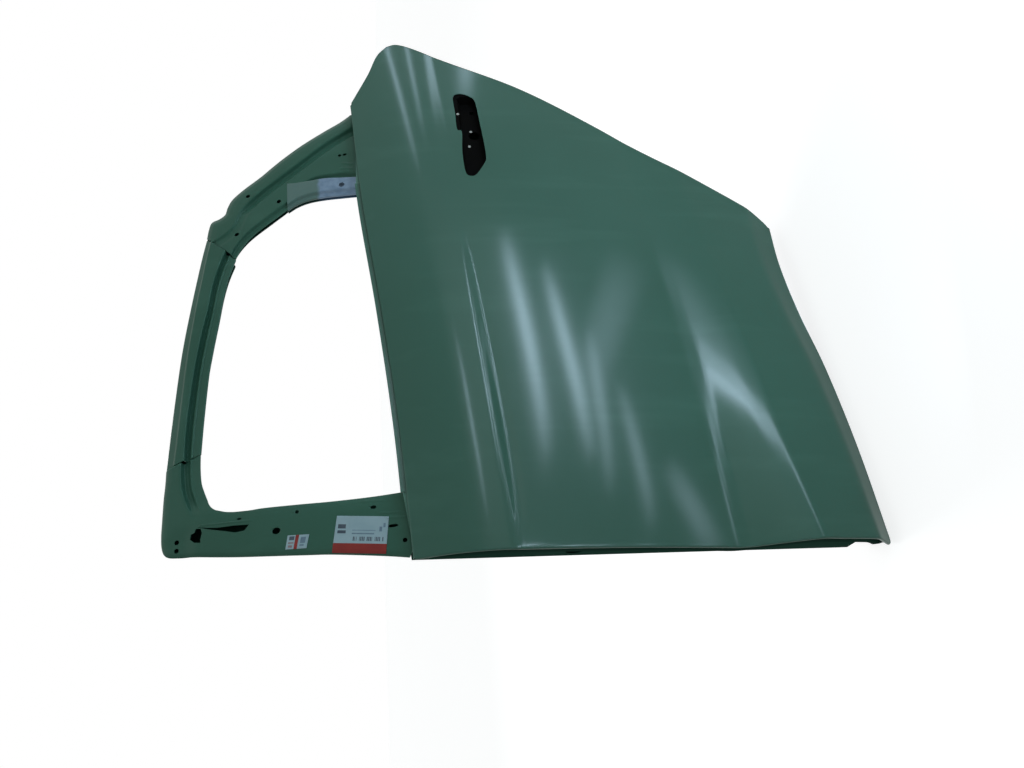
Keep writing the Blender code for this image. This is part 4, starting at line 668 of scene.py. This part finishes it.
def frame_y(x, z, depth):
    """The leaning plane of the frame: depth is measured inboard of its outer face."""
    height = np.maximum(z - belt_line(x), 0)
    lean = FRAME_LEAN * height + height**2 / (2 * FRAME_RADIUS)
    return FRAME_SETBACK + BELT_INSET * x / BELT_LENGTH + lean + depth


def frame_places(plan, depth_at, gap=0.0):
    """Points over a plan of (x, z), at a depth behind the frame's face less a gap before it."""
    x, z = plan[..., 0], plan[..., 1]
    return np.stack([x, frame_y(x, z, depth_at(x, z)) - gap, z], axis=-1)


def curve(places, count):
    """A smooth curve through a list of places, as count points."""
    places = np.array(places, float)
    at = np.linspace(0, len(places) - 1, count)
    k = np.minimum(at.astype(int), len(places) - 2)
    padded = np.vstack([2 * places[0] - places[1], places, 2 * places[-1] - places[-2]])
    return between(*(padded[k + step] for step in range(4)), (at - k)[:, None])


def frame_edges(pairs, tongue_drops=(), tongue_outer=None):
    """Outer and window edge as two arrays of places, with a tongue straight down at the end."""
    outer = curve([pair[0] for pair in pairs], FRAME_ROWS)
    window = curve([pair[1] for pair in pairs], FRAME_ROWS)
    foot_x = window[-1, 0]
    outer_x = outer[-1, 0] if tongue_outer is None else tongue_outer
    for drop in tongue_drops:
        outer = np.vstack([outer, (outer_x, float(belt_line(outer_x)) - drop)])
        window = np.vstack([window, (foot_x, float(belt_line(foot_x)) - drop)])
    return outer, window


def distance_to(line, x, z):
    """Distance from each place to a line of points, and on which side of it the place lies."""
    x, z = np.asarray(x, float), np.asarray(z, float)
    place = np.stack([x.ravel(), z.ravel()], axis=-1)
    best = np.full(len(place), np.inf)
    side = np.ones(len(place))
    for first, last in zip(line, line[1:]):
        along = last - first
        share = np.clip((place - first) @ along / (along @ along), 0, 1)
        offset = place - first - share[:, None] * along
        distance = np.hypot(offset[:, 0], offset[:, 1])
        nearer = distance < best
        best = np.where(nearer, distance, best)
        turn = along[0] * offset[:, 1] - along[1] * offset[:, 0]
        side = np.where(nearer, np.sign(turn), side)
    return best.reshape(x.shape), side.reshape(x.shape)


def bends(distance, table):
    """Depth from a table of (distance, depth), with its corners rounded."""
    places, depths = zip(*table)
    total = 0
    for tap in BEND_TAPS:
        total = total + np.interp(distance + tap * SECTION_ROUNDING, places, depths)
    return total / len(BEND_TAPS)


def smooth_step(value, start, end):
    share = np.clip((value - start) / (end - start), 0, 1)
    return share * share * (3 - 2 * share)


def beads(x, z, lines):
    """Height of small pressed beads along short lines."""
    height = 0
    for line in lines:
        distance, _ = distance_to(np.array(line), x, z)
        height = np.maximum(height, BEAD_HEIGHT * (1 - smooth_step(distance, 0, BEAD_REACH)))
    return height


def edge_distances(pairs, x, z):
    """Distances to the window edge and to the outer edge of a piece."""
    outer, window = frame_edges(pairs)
    return [distance_to(edge[::EDGE_STRIDE], x, z)[0] for edge in (window, outer)]


def front_depth(x, z):
    """The front panel: the header's lines run into it and fade out round the corner."""
    from_window, from_outer = edge_distances(FRONT_EDGES, x, z)
    pillar = smooth_step(x, *PILLAR_FADE_X) * smooth_step(z, *PILLAR_FADE_Z)
    face = lerp(bends(from_window, FRONT_LIP_BENDS), bends(from_window, PILLAR_BENDS), pillar)
    corner_x = x + (z - CORNER_LEVEL) * CORNER_slope_share
    corner = CORNER_DEPTH * smooth_step(corner_x, *CORNER_FADE_X) * smooth_step(z, *CORNER_FADE_Z)
    return face + bends(from_outer, FRONT_EDGE_BENDS) + corner - beads(x, z, FRONT_BEADS)


def rear_depth(x, z):
    """The rear corner: a raised outer band, a wide groove beside it and the lip of the window."""
    from_window, from_outer = edge_distances(REAR_EDGES, x, z)
    groove, side = distance_to(curve(GROOVE_EDGE, GROOVE_POINTS), x, z)
    inside = groove * side
    shallow = TRIANGLE_DEPTH + GROOVE_SHALLOW_STEP
    floor = lerp(shallow, GROOVE_DEPTH, smooth_step(x, *GROOVE_DEEPENS_X))
    low = bends(inside, GROOVE_FLOOR_shares) * (floor - TRIANGLE_DEPTH)
    face = bends(inside, RAISED_BAND_BENDS) + low + bends(from_outer, REAR_EDGE_BENDS)
    return np.maximum(face, bends(from_window, REAR_LIP_BENDS)) - beads(x, z, REAR_BEADS)


def sheet_object(name, points, finish, node, inboard=True):
    """A sheet through an array of points; it grows inboard or outboard of them."""
    mesh, _ = grid_mesh(points)
    face_outboard(mesh)
    made = add_object(name, mesh_data(mesh, name), finish)
    thicken(made, FRAME_T, -1 if inboard else 1)
    apply_modifiers(made)
    if node:
        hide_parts(node)
    return made


def field_sheet(name, edges, depth_at, finish, node):
    """A sheet between two edges, pressed to a depth that is worked out for each of its places."""
    outer, window = edges
    across = np.linspace(0, 1, FRAME_COLUMNS)[:, None, None]
    points = frame_places(lerp(window[None], outer[None], across), depth_at)
    return sheet_object(name, points, finish, node)


def rounded_section(section, width):
    """A section of (share of width, offset, depth) as closely spaced points with soft bends."""
    corners = np.array([(share * width + offset, depth) for share, offset, depth in section])
    lengths = np.hypot(*np.diff(corners, axis=0).T)
    travelled = np.concatenate([[0], np.cumsum(lengths)])
    end = travelled[-1]
    at = np.linspace(0, end, int(end / SECTION_STEP))
    total = 0
    for tap in BEND_TAPS:
        near = np.clip(at + tap * SECTION_ROUNDING, 0, end)
        places = [np.interp(near, travelled, corners[:, axis]) for axis in range(2)]
        total = total + np.stack(places, axis=-1)
    made = total / len(BEND_TAPS)
    made[0], made[-1] = corners[0], corners[-1]
    return made


def swept_sheet(name, edges, section, finish, node, inboard=True):
    """A sheet with one rounded section, swept between the two edges."""
    outer, window = edges
    widths = np.hypot(*(outer - window).T)
    middle = float(np.median(widths))
    pattern = rounded_section(section, middle)
    start, end = (share * middle for share in STRETCH_shares)
    stretch = (widths - middle)[None, :] * smooth_step(pattern[:, :1], start, end)
    share = ((pattern[:, :1] + stretch) / widths[None, :])[..., None]
    points = frame_places(lerp(window[None], outer[None], share), lambda x, z: pattern[:, 1:])
    return sheet_object(name, points, finish, node, inboard)


def cut_holes(obj, outlines):
    """Cuts prisms through a sheet of the frame, one for each outline in its plane."""
    mesh = bmesh.new()
    for outline in outlines:
        sides = [[(x, float(frame_y(x, z, reach)), z) for x, z in outline] for reach in HOLE_REACH]
        add_prism(mesh, *sides)
    bmesh.ops.triangulate(mesh, faces=mesh.faces[:])
    cut(obj, mesh, "holes")


def ellipse(centre, size):
    turns = [math.tau * k / HOLE_POINTS for k in range(HOLE_POINTS)]
    (x, z), (width, height) = centre, size
    return [(x + width / 2 * math.cos(turn), z + height / 2 * math.sin(turn)) for turn in turns]


def below_header(edges):
    """Starts a piece's edges one joint gap further on."""
    return tuple(edge + (JOINT_GAP, 0) for edge in edges)


def build_frame(materials):
    """The window frame's pieces from front to rear, in place of their plainer CAD sheets."""
    green = ("green_electrocoat", materials["frame"])
    # The inner finish is the green coat made darker: painted shade on the frame's inner sheets and
    # runs
    inner = ("inner_electrocoat", materials["inner"])
    zinc = ("zinc_plate", materials["zinc"])

    edges = frame_edges(FRONT_EDGES, (FRONT_TONGUE_START, TONGUE_DROP), FRONT_FOOT_X)
    panel = field_sheet("front_panel_surface", edges, front_depth, green, "front_frame_panel")
    cut_holes(panel, [CRESCENT, TORN_HOLE] + [ellipse(*hole) for hole in FRONT_HOLES])
    swept_sheet("front_inner_surface", edges, INNER_SECTION, inner, "front_frame_inner")
    drops = (RUN_TONGUE_START, TONGUE_DROP, FRONT_RUN_DROP)
    edges = frame_edges(FRONT_EDGES, drops, FRONT_FOOT_X)
    swept_sheet("front_run_surface", edges, RUN_SECTION, inner, "front_sash_channel", inboard=False)

    edges = below_header(frame_edges(HEADER_EDGES))
    edges = tuple(np.vstack([edge[:-1], edge[-1:] - (2 * JOINT_GAP, 0)]) for edge in edges)
    swept_sheet("header_surface", edges, HEADER_SECTION, green, "header_channel")

    edges = below_header(frame_edges(REAR_EDGES, (REAR_TONGUE_START, TONGUE_DROP)))
    panel = field_sheet("rear_panel_surface", edges, rear_depth, green, "rear_frame_panel")
    cut_holes(panel, [ellipse(*hole) for hole in REAR_HOLES])
    swept_sheet("rear_inner_surface", edges, INNER_SECTION, inner, "rear_frame_inner")
    edges = below_header(frame_edges(REAR_EDGES[:CORNER_RUN_STATIONS]))
    swept_sheet("rear_run_surface", edges, RUN_SECTION, inner, "rear_corner_channel", inboard=False)

    edges = frame_edges(DIVISION_EDGES, (REAR_TONGUE_START, TONGUE_DROP, DIVISION_DROP))
    bar = swept_sheet("division_surface", edges, DIVISION_SECTION, zinc, "division_channel")
    cut_holes(bar, [ellipse(*DIVISION_HOLE)])


# Materials

# Electrocoat: clouds of colour, runs, dust that dulls it, orange peel, and edges made lighter: rubbed
# wear and a painted highlight along the bends
CLOUD_SCALE = 3.2
CLOUD_RANGE = (0.35, 0.65)
RUN_SCALE = 22
RUN_STRETCH = (1.0, 1.0, 0.12)
RUN_RANGE = (0.55, 0.80)
RUN_share = 0.35
DUST_SCALE = 9
DUST_RANGE = (0.3, 0.7)
ROUGHNESS_SWING = 0.05
PEEL_SCALE = 420
WAVE_SCALE = 60
WAVE_share = 0.8
PEEL_STRENGTH = 0.06
PEEL_HEIGHT = 0.0004
EDGE_RANGE = (0.53, 0.62)
# How much a colour is multiplied and lifted in a run and on a convex edge, which is rubbed wear and a
# painted highlight
RUN_LIGHTENING = (1.35, 0.012)
EDGE_WEAR_AND_HIGHLIGHT = (1.8, 0.02)
# The clear coat fades out on faces that look down this much
COAT_FADE = (-0.60, -0.20)
COAT_ROUGHNESS = 0.12

# Zinc on the division: the heights between which green coat takes over, and how they waver
ZINC_END_Z = (0.318, 0.326)
ZINC_END_SCALE = 60
ZINC_END_WAVER = 0.012
ZINC_GREEN = (0.040, 0.110, 0.095)
SPANGLE_SCALE = 90
SPANGLE_COLOURS = ((0.09, 0.16, 0.24), (0.15, 0.23, 0.32))
ZINC_ROUGHNESS = (0.34, 0.48)
ZINC_METALLIC = 0.35
ZINC_GRAIN_SCALE = 500
ZINC_GRAIN_STRENGTH = 0.08
GRAIN_HEIGHT = 0.0003
PLAIN_GRAIN_share = 12

# Green finishes: two colours, roughness, specular level, clear coat and how far edges are lightened,
# as rubbed wear and a painted highlight
ELECTROCOATS = {
    "skin": ("green_electrocoat", (0.0205, 0.088, 0.060), (0.025, 0.096, 0.067), 0.36, 0.06, 0.36),
    # frame: its edges are lightened most, a painted highlight on its bends with some rubbed wear
    "frame": ("frame_electrocoat", (0.028, 0.092, 0.062), (0.037, 0.110, 0.078), 0.38, 0.12, 0.0, 0.9),
    # belt: the same green coat made lighter, painted light on the belt strip
    "belt": ("belt_electrocoat", (0.050, 0.135, 0.100), (0.062, 0.155, 0.118), 0.38, 0.20),
    # inner: the same green coat made darker, painted shade on the inner panel and the frame's inner
    # sheets and runs
    "inner": ("inner_electrocoat", (0.018, 0.058, 0.041), (0.023, 0.068, 0.049), 0.55, 0.0),
    # step: darker still, painted shade on the band behind the skin's front edge
    "step": ("step_electrocoat", (0.012, 0.040, 0.028), (0.016, 0.048, 0.034), 0.55, 0.0),
}
# Other finishes: two colours, roughness, scale of their clouds, strength of bump, specular level
PLAIN_FINISHES = {
    # A pale finish for the dots in the handle cup: painted light
    "light_dot": ("light_dot_pale", (0.30, 0.30, 0.27), (0.38, 0.37, 0.33), 0.5, 200, 0.05),
    "black": ("black_coating", (0.0012, 0.0012, 0.0010), (0.002, 0.002, 0.002), 0.7, 30.0, 0.05, 0.02),
    "mastic": ("grey_mastic", (0.045, 0.047, 0.045), (0.070, 0.072, 0.070), 0.85, 60, 0.3),
}
LABEL_FINISHES = (
    ("label_paper", (0.24, 0.35, 0.385), (0.28, 0.39, 0.425), 0.45, 40),
    ("label_red", (0.24, 0.022, 0.016), (0.19, 0.018, 0.014), 0.42, 40),
    ("label_print", (0.040, 0.060, 0.080), (0.060, 0.080, 0.100), 0.50, 90),
    ("label_faint_print", (0.10, 0.16, 0.21), (0.13, 0.20, 0.25), 0.50, 90),
    ("label_pink", (0.24, 0.18, 0.19), (0.20, 0.14, 0.14), 0.50, 90),
)
# The finish of each CAD node that isn't listed here is "inner", the darker copy of the green coat that
# paints shade
NODE_FINISHES = {
    "frame": (
        "front_frame_panel", "rear_frame_panel", "header_channel",
        "front_sash_channel", "rear_corner_channel",
    ),
    # The belt strip takes a lighter copy of the green coat: painted light
    "belt": ("outer_belt_reinforcement",),
    "zinc": ("division_channel",),
    "black": ("handle_bracket",),
    "mastic": ("anti_flutter_pad_1", "anti_flutter_pad_2", "anti_flutter_pad_3"),
}


def math_node(tree, kind, first, second):
    """The result of a sum; each side of it is a number or another node's output."""
    node = tree.nodes.new("ShaderNodeMath")
    node.operation = kind
    for socket, value in zip(node.inputs, (first, second)):
        if isinstance(value, (int, float)):
            socket.default_value = value
        else:
            tree.links.new(value, socket)
    return node.outputs[0]


def blend_node(tree, factor, first, second):
    """A blend of two colours, each three numbers or another node's output."""
    node = tree.nodes.new("ShaderNodeMix")
    node.data_type = "RGBA"
    tree.links.new(factor, node.inputs["Factor"])
    sockets = [socket for socket in node.inputs if socket.type == "RGBA"]
    for socket, colour in zip(sockets, (first, second)):
        if isinstance(colour, tuple):
            socket.default_value = (*colour, 1)
        else:
            tree.links.new(colour, socket)
    return next(socket for socket in node.outputs if socket.type == "RGBA")


class Nodes:
    """Short hands for building one material's nodes."""

    def __init__(self, name):
        self.material = bpy.data.materials.new(name)
        self.material.use_nodes = True
        self.tree = self.material.node_tree
        self.shader = self.tree.nodes["Principled BSDF"]
        self.place = self.add("ShaderNodeTexCoord").outputs["Object"]

    def add(self, kind):
        return self.tree.nodes.new(kind)

    def link(self, output, node, name):
        self.tree.links.new(output, node.inputs[name])

    def noise(self, scale, detail=2.0, stretch=(1, 1, 1)):
        mapping = self.add("ShaderNodeMapping")
        mapping.inputs["Scale"].default_value = stretch
        self.link(self.place, mapping, "Vector")
        node = self.add("ShaderNodeTexNoise")
        node.inputs["Scale"].default_value = scale
        node.inputs["Detail"].default_value = detail
        self.link(mapping.outputs["Vector"], node, "Vector")
        return node.outputs["Fac"]

    def spread(self, value, low, high, out_low, out_high):
        node = self.add("ShaderNodeMapRange")
        settings = (("From Min", low), ("From Max", high), ("To Min", out_low), ("To Max", out_high))
        for name, number in settings:
            node.inputs[name].default_value = number
        self.link(value, node, "Value")
        return node.outputs["Result"]

    def height_of(self, vector):
        """The Z part of a place or direction."""
        node = self.add("ShaderNodeSeparateXYZ")
        self.link(vector, node, "Vector")
        return node.outputs["Z"]

    def blend(self, factor, first, second):
        return blend_node(self.tree, factor, first, second)

    def math(self, kind, first, second):
        return math_node(self.tree, kind, first, second)

    def bump(self, height, strength, distance):
        node = self.add("ShaderNodeBump")
        node.inputs["Strength"].default_value = strength
        node.inputs["Distance"].default_value = distance
        self.link(height, node, "Height")
        self.link(node.outputs["Normal"], self.shader, "Normal")

    def set(self, name, value):
        """Gives one of the shader's inputs a number, a colour or another node's output."""
        if isinstance(value, bpy.types.NodeSocket):
            self.link(value, self.shader, name)
        else:
            self.shader.inputs[name].default_value = value

    def waver_roughness(self, value, limits, middle):
        ends = (middle - ROUGHNESS_SWING, middle + ROUGHNESS_SWING)
        self.set("Roughness", self.spread(value, *limits, *ends))


def lightened(colour, gain, lift):
    return tuple(min(1.0, channel * gain + lift) for channel in colour)


def electrocoat(name, base, shade, roughness, specular, coat=0.0, edge_wear_and_highlight=0.45):
    """Dipped primer: cloudy colour, faint runs, a fine orange peel and lighter edges, which are rubbed
    wear and a painted highlight.
    """
    nodes = Nodes(name)
    clouds = nodes.spread(nodes.noise(CLOUD_SCALE, 3.0), *CLOUD_RANGE, 0, 1)
    colour = nodes.blend(clouds, base, shade)
    runs = nodes.spread(nodes.noise(RUN_SCALE, 3.0, RUN_STRETCH), *RUN_RANGE, 0, RUN_share)
    colour = nodes.blend(runs, colour, lightened(base, *RUN_LIGHTENING))
    pointed = nodes.add("ShaderNodeNewGeometry").outputs["Pointiness"]
    # Convex edges made lighter: rubbed wear and a painted highlight along the bends
    edges = nodes.spread(pointed, *EDGE_RANGE, 0, edge_wear_and_highlight)
    nodes.set("Base Color", nodes.blend(edges, colour, lightened(base, *EDGE_WEAR_AND_HIGHLIGHT)))
    nodes.waver_roughness(nodes.noise(DUST_SCALE, 4.0), DUST_RANGE, roughness)
    waves = nodes.math("MULTIPLY", nodes.noise(WAVE_SCALE), WAVE_share)
    nodes.bump(nodes.math("ADD", nodes.noise(PEEL_SCALE), waves), PEEL_STRENGTH, PEEL_HEIGHT)
    nodes.set("Specular IOR Level", specular)
    if coat:
        facing_up = nodes.height_of(nodes.add("ShaderNodeNewGeometry").outputs["Normal"])
        nodes.set("Coat Weight", nodes.spread(facing_up, *COAT_FADE, 0.0, coat))
    nodes.set("Coat Roughness", COAT_ROUGHNESS)
    return nodes.material


def zinc(name):
    """Bluish plating on the lower part of the division, with green coat above it."""
    nodes = Nodes(name)
    waver = nodes.math("MULTIPLY", nodes.noise(ZINC_END_SCALE), ZINC_END_WAVER)
    edge = nodes.math("ADD", nodes.height_of(nodes.place), waver)
    green = nodes.spread(edge, *ZINC_END_Z, 0, 1)
    spangle = nodes.spread(nodes.noise(SPANGLE_SCALE, 3.0), *DUST_RANGE, 0, 1)
    plated = nodes.blend(spangle, *SPANGLE_COLOURS)
    nodes.set("Base Color", nodes.blend(green, plated, ZINC_GREEN))
    nodes.set("Roughness", nodes.spread(spangle, 0, 1, *ZINC_ROUGHNESS))
    nodes.set("Metallic", nodes.spread(green, 0, 1, ZINC_METALLIC, 0.0))
    nodes.bump(nodes.noise(ZINC_GRAIN_SCALE), ZINC_GRAIN_STRENGTH, GRAIN_HEIGHT)
    return nodes.material


def plain(name, first, second, roughness, scale, bump=0.02, specular=0.25):
    """A finish that varies a little between two colours."""
    nodes = Nodes(name)
    cloud = nodes.spread(nodes.noise(scale, 3.0), *CLOUD_RANGE, 0, 1)
    nodes.set("Base Color", nodes.blend(cloud, first, second))
    nodes.waver_roughness(cloud, (0, 1), roughness)
    nodes.bump(nodes.noise(scale * PLAIN_GRAIN_share), bump, GRAIN_HEIGHT)
    nodes.set("Specular IOR Level", specular)
    return nodes.material


def repaint(materials):
    """Gives each CAD node the finish that its name belongs to."""
    finishes = {node: finish for finish, nodes in NODE_FINISHES.items() for node in nodes}
    for name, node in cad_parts.items():
        node.data.materials.clear()
        node.data.materials.append(materials[finishes.get(name, "inner")])


# Labels on the front panel of the window frame: their corners, and fields as shares of their size
LABEL_T = 0.00025
LABEL_GAP = 0.0004
LARGE_LABEL_CELLS = (100, 60)
SMALL_LABEL_CELLS = (50, 36)
PAPER, RED, PRINT, FAINT, PINK = range(len(LABEL_FINISHES))
LARGE_FIELDS_shares = (
    (RED, 0.0, 1.0, 0.745, 1.0), (PRINT, 0.05, 0.205, 0.24, 0.35), (PRINT, 0.05, 0.215, 0.40, 0.49),
    (FAINT, 0.33, 0.77, 0.385, 0.405), (FAINT, 0.33, 0.75, 0.475, 0.495),
    (FAINT, 0.84, 0.89, 0.28, 0.41), (FAINT, 0.91, 0.95, 0.18, 0.30),
)
SMALL_FIELDS_shares = (
    (PRINT, 0.10, 0.34, 0.08, 0.37), (PINK, 0.08, 0.35, 0.50, 0.62), (PINK, 0.10, 0.30, 0.72, 0.90),
    (RED, 0.39, 0.54, 0.0, 1.0), (FAINT, 0.65, 0.88, 0.18, 0.60), (FAINT, 0.65, 0.85, 0.70, 0.80),
)
# A row of bars in groups of five, with one bar of each group left out
BAR_COUNT = 20
BAR_GROUP = 5
BAR_LEFT_OUT = 3
BAR_ENDS_shares = (0.36, 0.94)
BAR_WIDTH_share = 0.016
BAR_HEIGHT_shares = (0.57, 0.69)
LARGE_LABEL = ((0.0876, 0.1119), (0.0757, 0.0328), (0.0190, 0.0387), (0.0309, 0.1195))
SMALL_LABEL = ((0.0670, 0.1885), (0.0643, 0.1545), (0.0427, 0.1586), (0.0450, 0.1915))


def field_at(fields, across, down):
    """The finish of a label's cell, at shares of its width and height."""
    found = PAPER
    for name, left, right, top, bottom in fields:
        if left <= across < right and top <= down < bottom:
            found = name
    return found


def build_label(name, corners, fields, cells, materials):
    """A paper label that follows the panel: its width runs down the door, its height forward."""
    columns, rows = cells
    steps = (np.linspace(0, 1, count + 1) for count in cells)
    across, down = (share[..., None] for share in np.meshgrid(*steps, indexing="ij"))
    top_left, top_right, low_right, low_left = (np.array(corner) for corner in corners)
    plan = lerp(lerp(top_left, top_right, across), lerp(low_left, low_right, across), down)
    mesh, _ = grid_mesh(frame_places(plan, front_depth, LABEL_GAP))
    for k, face in enumerate(mesh.faces):
        middle = ((k // rows + 0.5) / columns, (k % rows + 0.5) / rows)
        face.material_index = field_at(fields, *middle)
    face_outboard(mesh)
    data = mesh_data(mesh, name)
    for material in materials:
        data.materials.append(material)
    label = add_object(name, data, ("printed_label", None))
    thicken(label, LABEL_T, 1)
    apply_modifiers(label)


def bar_fields():
    kept = [k for k in range(BAR_COUNT) if k % BAR_GROUP != BAR_LEFT_OUT]
    lefts = [lerp(*BAR_ENDS_shares, k / BAR_COUNT) for k in kept]
    return tuple((PRINT, left, left + BAR_WIDTH_share, *BAR_HEIGHT_shares) for left in lefts)


def build_labels():
    materials = [plain(*finish) for finish in LABEL_FINISHES]
    large_fields = LARGE_FIELDS_shares + bar_fields()
    build_label("large_label", LARGE_LABEL, large_fields, LARGE_LABEL_CELLS, materials)
    build_label("small_label", SMALL_LABEL, SMALL_FIELDS_shares, SMALL_LABEL_CELLS, materials)


# Stage, light and camera


CAMERA_PLACE = Vector((-0.35425456, -1.11804412, 0.07141399))
CAMERA_RIGHT = Vector((-0.04941654, -0.060044, -0.99697178))
CAMERA_DOWN = Vector((-0.87024197, 0.49244013, 0.01347708))
CAMERA_FORWARD = Vector((0.4901397, 0.86827267, -0.0765875))
FOCAL_PIXELS = 800.6235
CENTRE_PIXEL = (423.2082, 390.1197)
PICTURE_SIZE = (1024, 768)
SENSOR_MM = 36.0
CLIP_RANGE = (0.05, 60)

AMBIENT = (0.40, 0.43, 0.43)
FLOOR_SIZE = 60.0
FLOOR_CELLS = 8
FLOOR_GAP = 0.001
FLOOR_GLOW = 0.78
FLOOR_CLOUD_SCALE = 0.5
FLOOR_GREYS = ((0.40, 0.40, 0.40), (0.42, 0.42, 0.42))
FLOOR_ROUGHNESS = 0.9
FLOOR_SPECULAR = 0.1

# Long tubes, seen in the skin: their ends, width and brightness
TUBES = (
    ((1.86, -1.56, -0.345), (0.92, -1.84, -0.515), 0.085, 46),
    ((1.16, -0.90, -0.350), (0.54, -1.01, -0.480), 0.055, 36),
    ((0.86, -0.81, -0.457), (0.40, -0.88, -0.492), 0.045, 18),
    ((0.58, -0.62, -0.448), (0.22, -0.64, -0.518), 0.040, 14),
    ((1.46, -1.73, 0.197), (0.70, -1.96, 0.158), 0.060, 24),
    ((3.00, -0.99, -0.156), (2.42, -1.28, -0.137), 0.110, 15),
    ((3.00, -1.04, 0.212), (2.34, -1.34, 0.120), 0.080, 13),
    ((3.00, -1.00, 0.590), (2.16, -1.42, 0.310), 0.080, 15),
    ((0.830, -0.420, -0.470), (0.720, -1.040, -0.480), 0.160, 5),
    ((0.300, -0.455, -0.470), (0.050, -0.330, -0.500), 0.060, 7),
)
TUBE_COLOUR = (0.62, 0.82, 1.0)
FRONT_COLOUR = (0.86, 0.98, 1.0)
# The other area lights: place, size, power and colour
LIGHT_TARGET = Vector((0.45, -0.05, -0.1))
FRONT_LIGHT = ((1.9, -3.0, -0.1), (3.0, 1.6), 16, FRONT_COLOUR)
TOP_LIGHT = ((0.4, -1.2, 3.6), (2.4, 2.4), 12, (0.92, 0.98, 1.0))
BACK_LIGHT = ((0.6, 2.4, 1.8), (2.0, 1.2), 36, (1, 1, 1))
# It brings the middle of a faded light, where both arches are a quarter, to full strength
FADE_GAIN = 16.0


def build_camera():
    data = bpy.data.cameras.new("camera")
    camera = link_object("camera", data)
    turn = Matrix((CAMERA_RIGHT, -CAMERA_DOWN, -CAMERA_FORWARD)).transposed()
    camera.matrix_world = Matrix.Translation(CAMERA_PLACE + DATUM) @ turn.to_4x4()
    width, height = PICTURE_SIZE
    data.sensor_fit = "HORIZONTAL"
    data.sensor_width = SENSOR_MM
    data.lens = FOCAL_PIXELS / width * SENSOR_MM
    data.shift_x = (width / 2 - CENTRE_PIXEL[0]) / width
    data.shift_y = (CENTRE_PIXEL[1] - height / 2) / width
    data.clip_start, data.clip_end = CLIP_RANGE
    bpy.context.scene.camera = camera


def area_light(name, place, size, power, colour):
    data = bpy.data.lights.new(name, "AREA")
    data.shape = "RECTANGLE"
    data.size, data.size_y = size
    data.energy = power
    data.color = colour
    light = link_object(name, data)
    light.location = place
    light.rotation_euler = (LIGHT_TARGET - Vector(place)).to_track_quat("-Z", "Y").to_euler()
    return light


def build_world():
    world = bpy.data.worlds.new("studio")
    bpy.context.scene.world = world
    world.use_nodes = True
    tree = world.node_tree
    colour = blend_node(tree, seen_rays(tree), AMBIENT, (1, 1, 1))
    tree.links.new(colour, tree.nodes["Background"].inputs["Color"])


def seen_rays(tree):
    """1 for the rays that show the background: those to the camera and off or through the object."""
    path = tree.nodes.new("ShaderNodeLightPath")
    seen = path.outputs["Is Camera Ray"]
    for name in ("Is Glossy Ray", "Is Transmission Ray"):
        seen = math_node(tree, "MAXIMUM", seen, path.outputs[name])
    return seen


def build_floor():
    mesh = bmesh.new()
    bmesh.ops.create_grid(mesh, x_segments=FLOOR_CELLS, y_segments=FLOOR_CELLS, size=FLOOR_SIZE / 2)
    floor = link_object("floor", mesh_data(mesh, "floor", Vector()))
    floor.location = (0, 0, CAD_BOX[0][2] - FLOOR_GAP)
    nodes = Nodes("pale_floor")
    nodes.set("Base Color", nodes.blend(nodes.noise(FLOOR_CLOUD_SCALE), *FLOOR_GREYS))
    nodes.set("Roughness", FLOOR_ROUGHNESS)
    nodes.set("Specular IOR Level", FLOOR_SPECULAR)
    nodes.set("Emission Color", (1, 1, 1, 1))
    nodes.set("Emission Strength", nodes.math("MULTIPLY", seen_rays(nodes.tree), FLOOR_GLOW))
    floor.data.materials.append(nodes.material)


def fade_to_edges(light):
    """Makes a light brightest at its middle, so that its reflection has soft ends, and unseen."""
    light.data.use_nodes = True
    light.visible_camera = False
    tree = light.data.node_tree
    emission = next(node for node in tree.nodes if node.type == "EMISSION")
    spot = tree.nodes.new("ShaderNodeSeparateXYZ")
    tree.links.new(tree.nodes.new("ShaderNodeNewGeometry").outputs["Parametric"], spot.inputs[0])
    strength = FADE_GAIN
    for axis in ("X", "Y"):
        across = spot.outputs[axis]
        arch = math_node(tree, "MULTIPLY", across, math_node(tree, "SUBTRACT", 1.0, across))
        strength = math_node(tree, "MULTIPLY", arch, strength)
    tree.links.new(strength, emission.inputs["Strength"])


def build_lights():
    for k, (first, last, width, brightness) in enumerate(TUBES):
        first, last = Vector(first), Vector(last)
        length = (last - first).length
        power = brightness * math.pi * length * width
        place = (first + last) / 2
        tube = area_light(f"tube_{k + 1}", place, (length, width), power, TUBE_COLOUR)
        fade_to_edges(tube)
        along = (last - first).normalized()
        back = place - LIGHT_TARGET
        back = (back - along * back.dot(along)).normalized()
        tube.rotation_euler = Matrix((along, back.cross(along), back)).transposed().to_euler()
    fade_to_edges(area_light("front", *FRONT_LIGHT))
    area_light("top", *TOP_LIGHT)
    area_light("back", *BACK_LIGHT)


def main():
    materials = {key: electrocoat(*finish) for key, finish in ELECTROCOATS.items()}
    materials["zinc"] = zinc("zinc_plate")
    materials.update({key: plain(*finish) for key, finish in PLAIN_FINISHES.items()})
    repaint(materials)
    build_skin(materials["skin"])
    build_frame(materials)
    build_front_step(materials["step"])
    build_cup_light_dots(materials["light_dot"])
    build_labels()
    build_floor()
    build_world()
    build_lights()
    build_camera()
    bpy.context.scene.view_settings.view_transform = "Standard"


main()
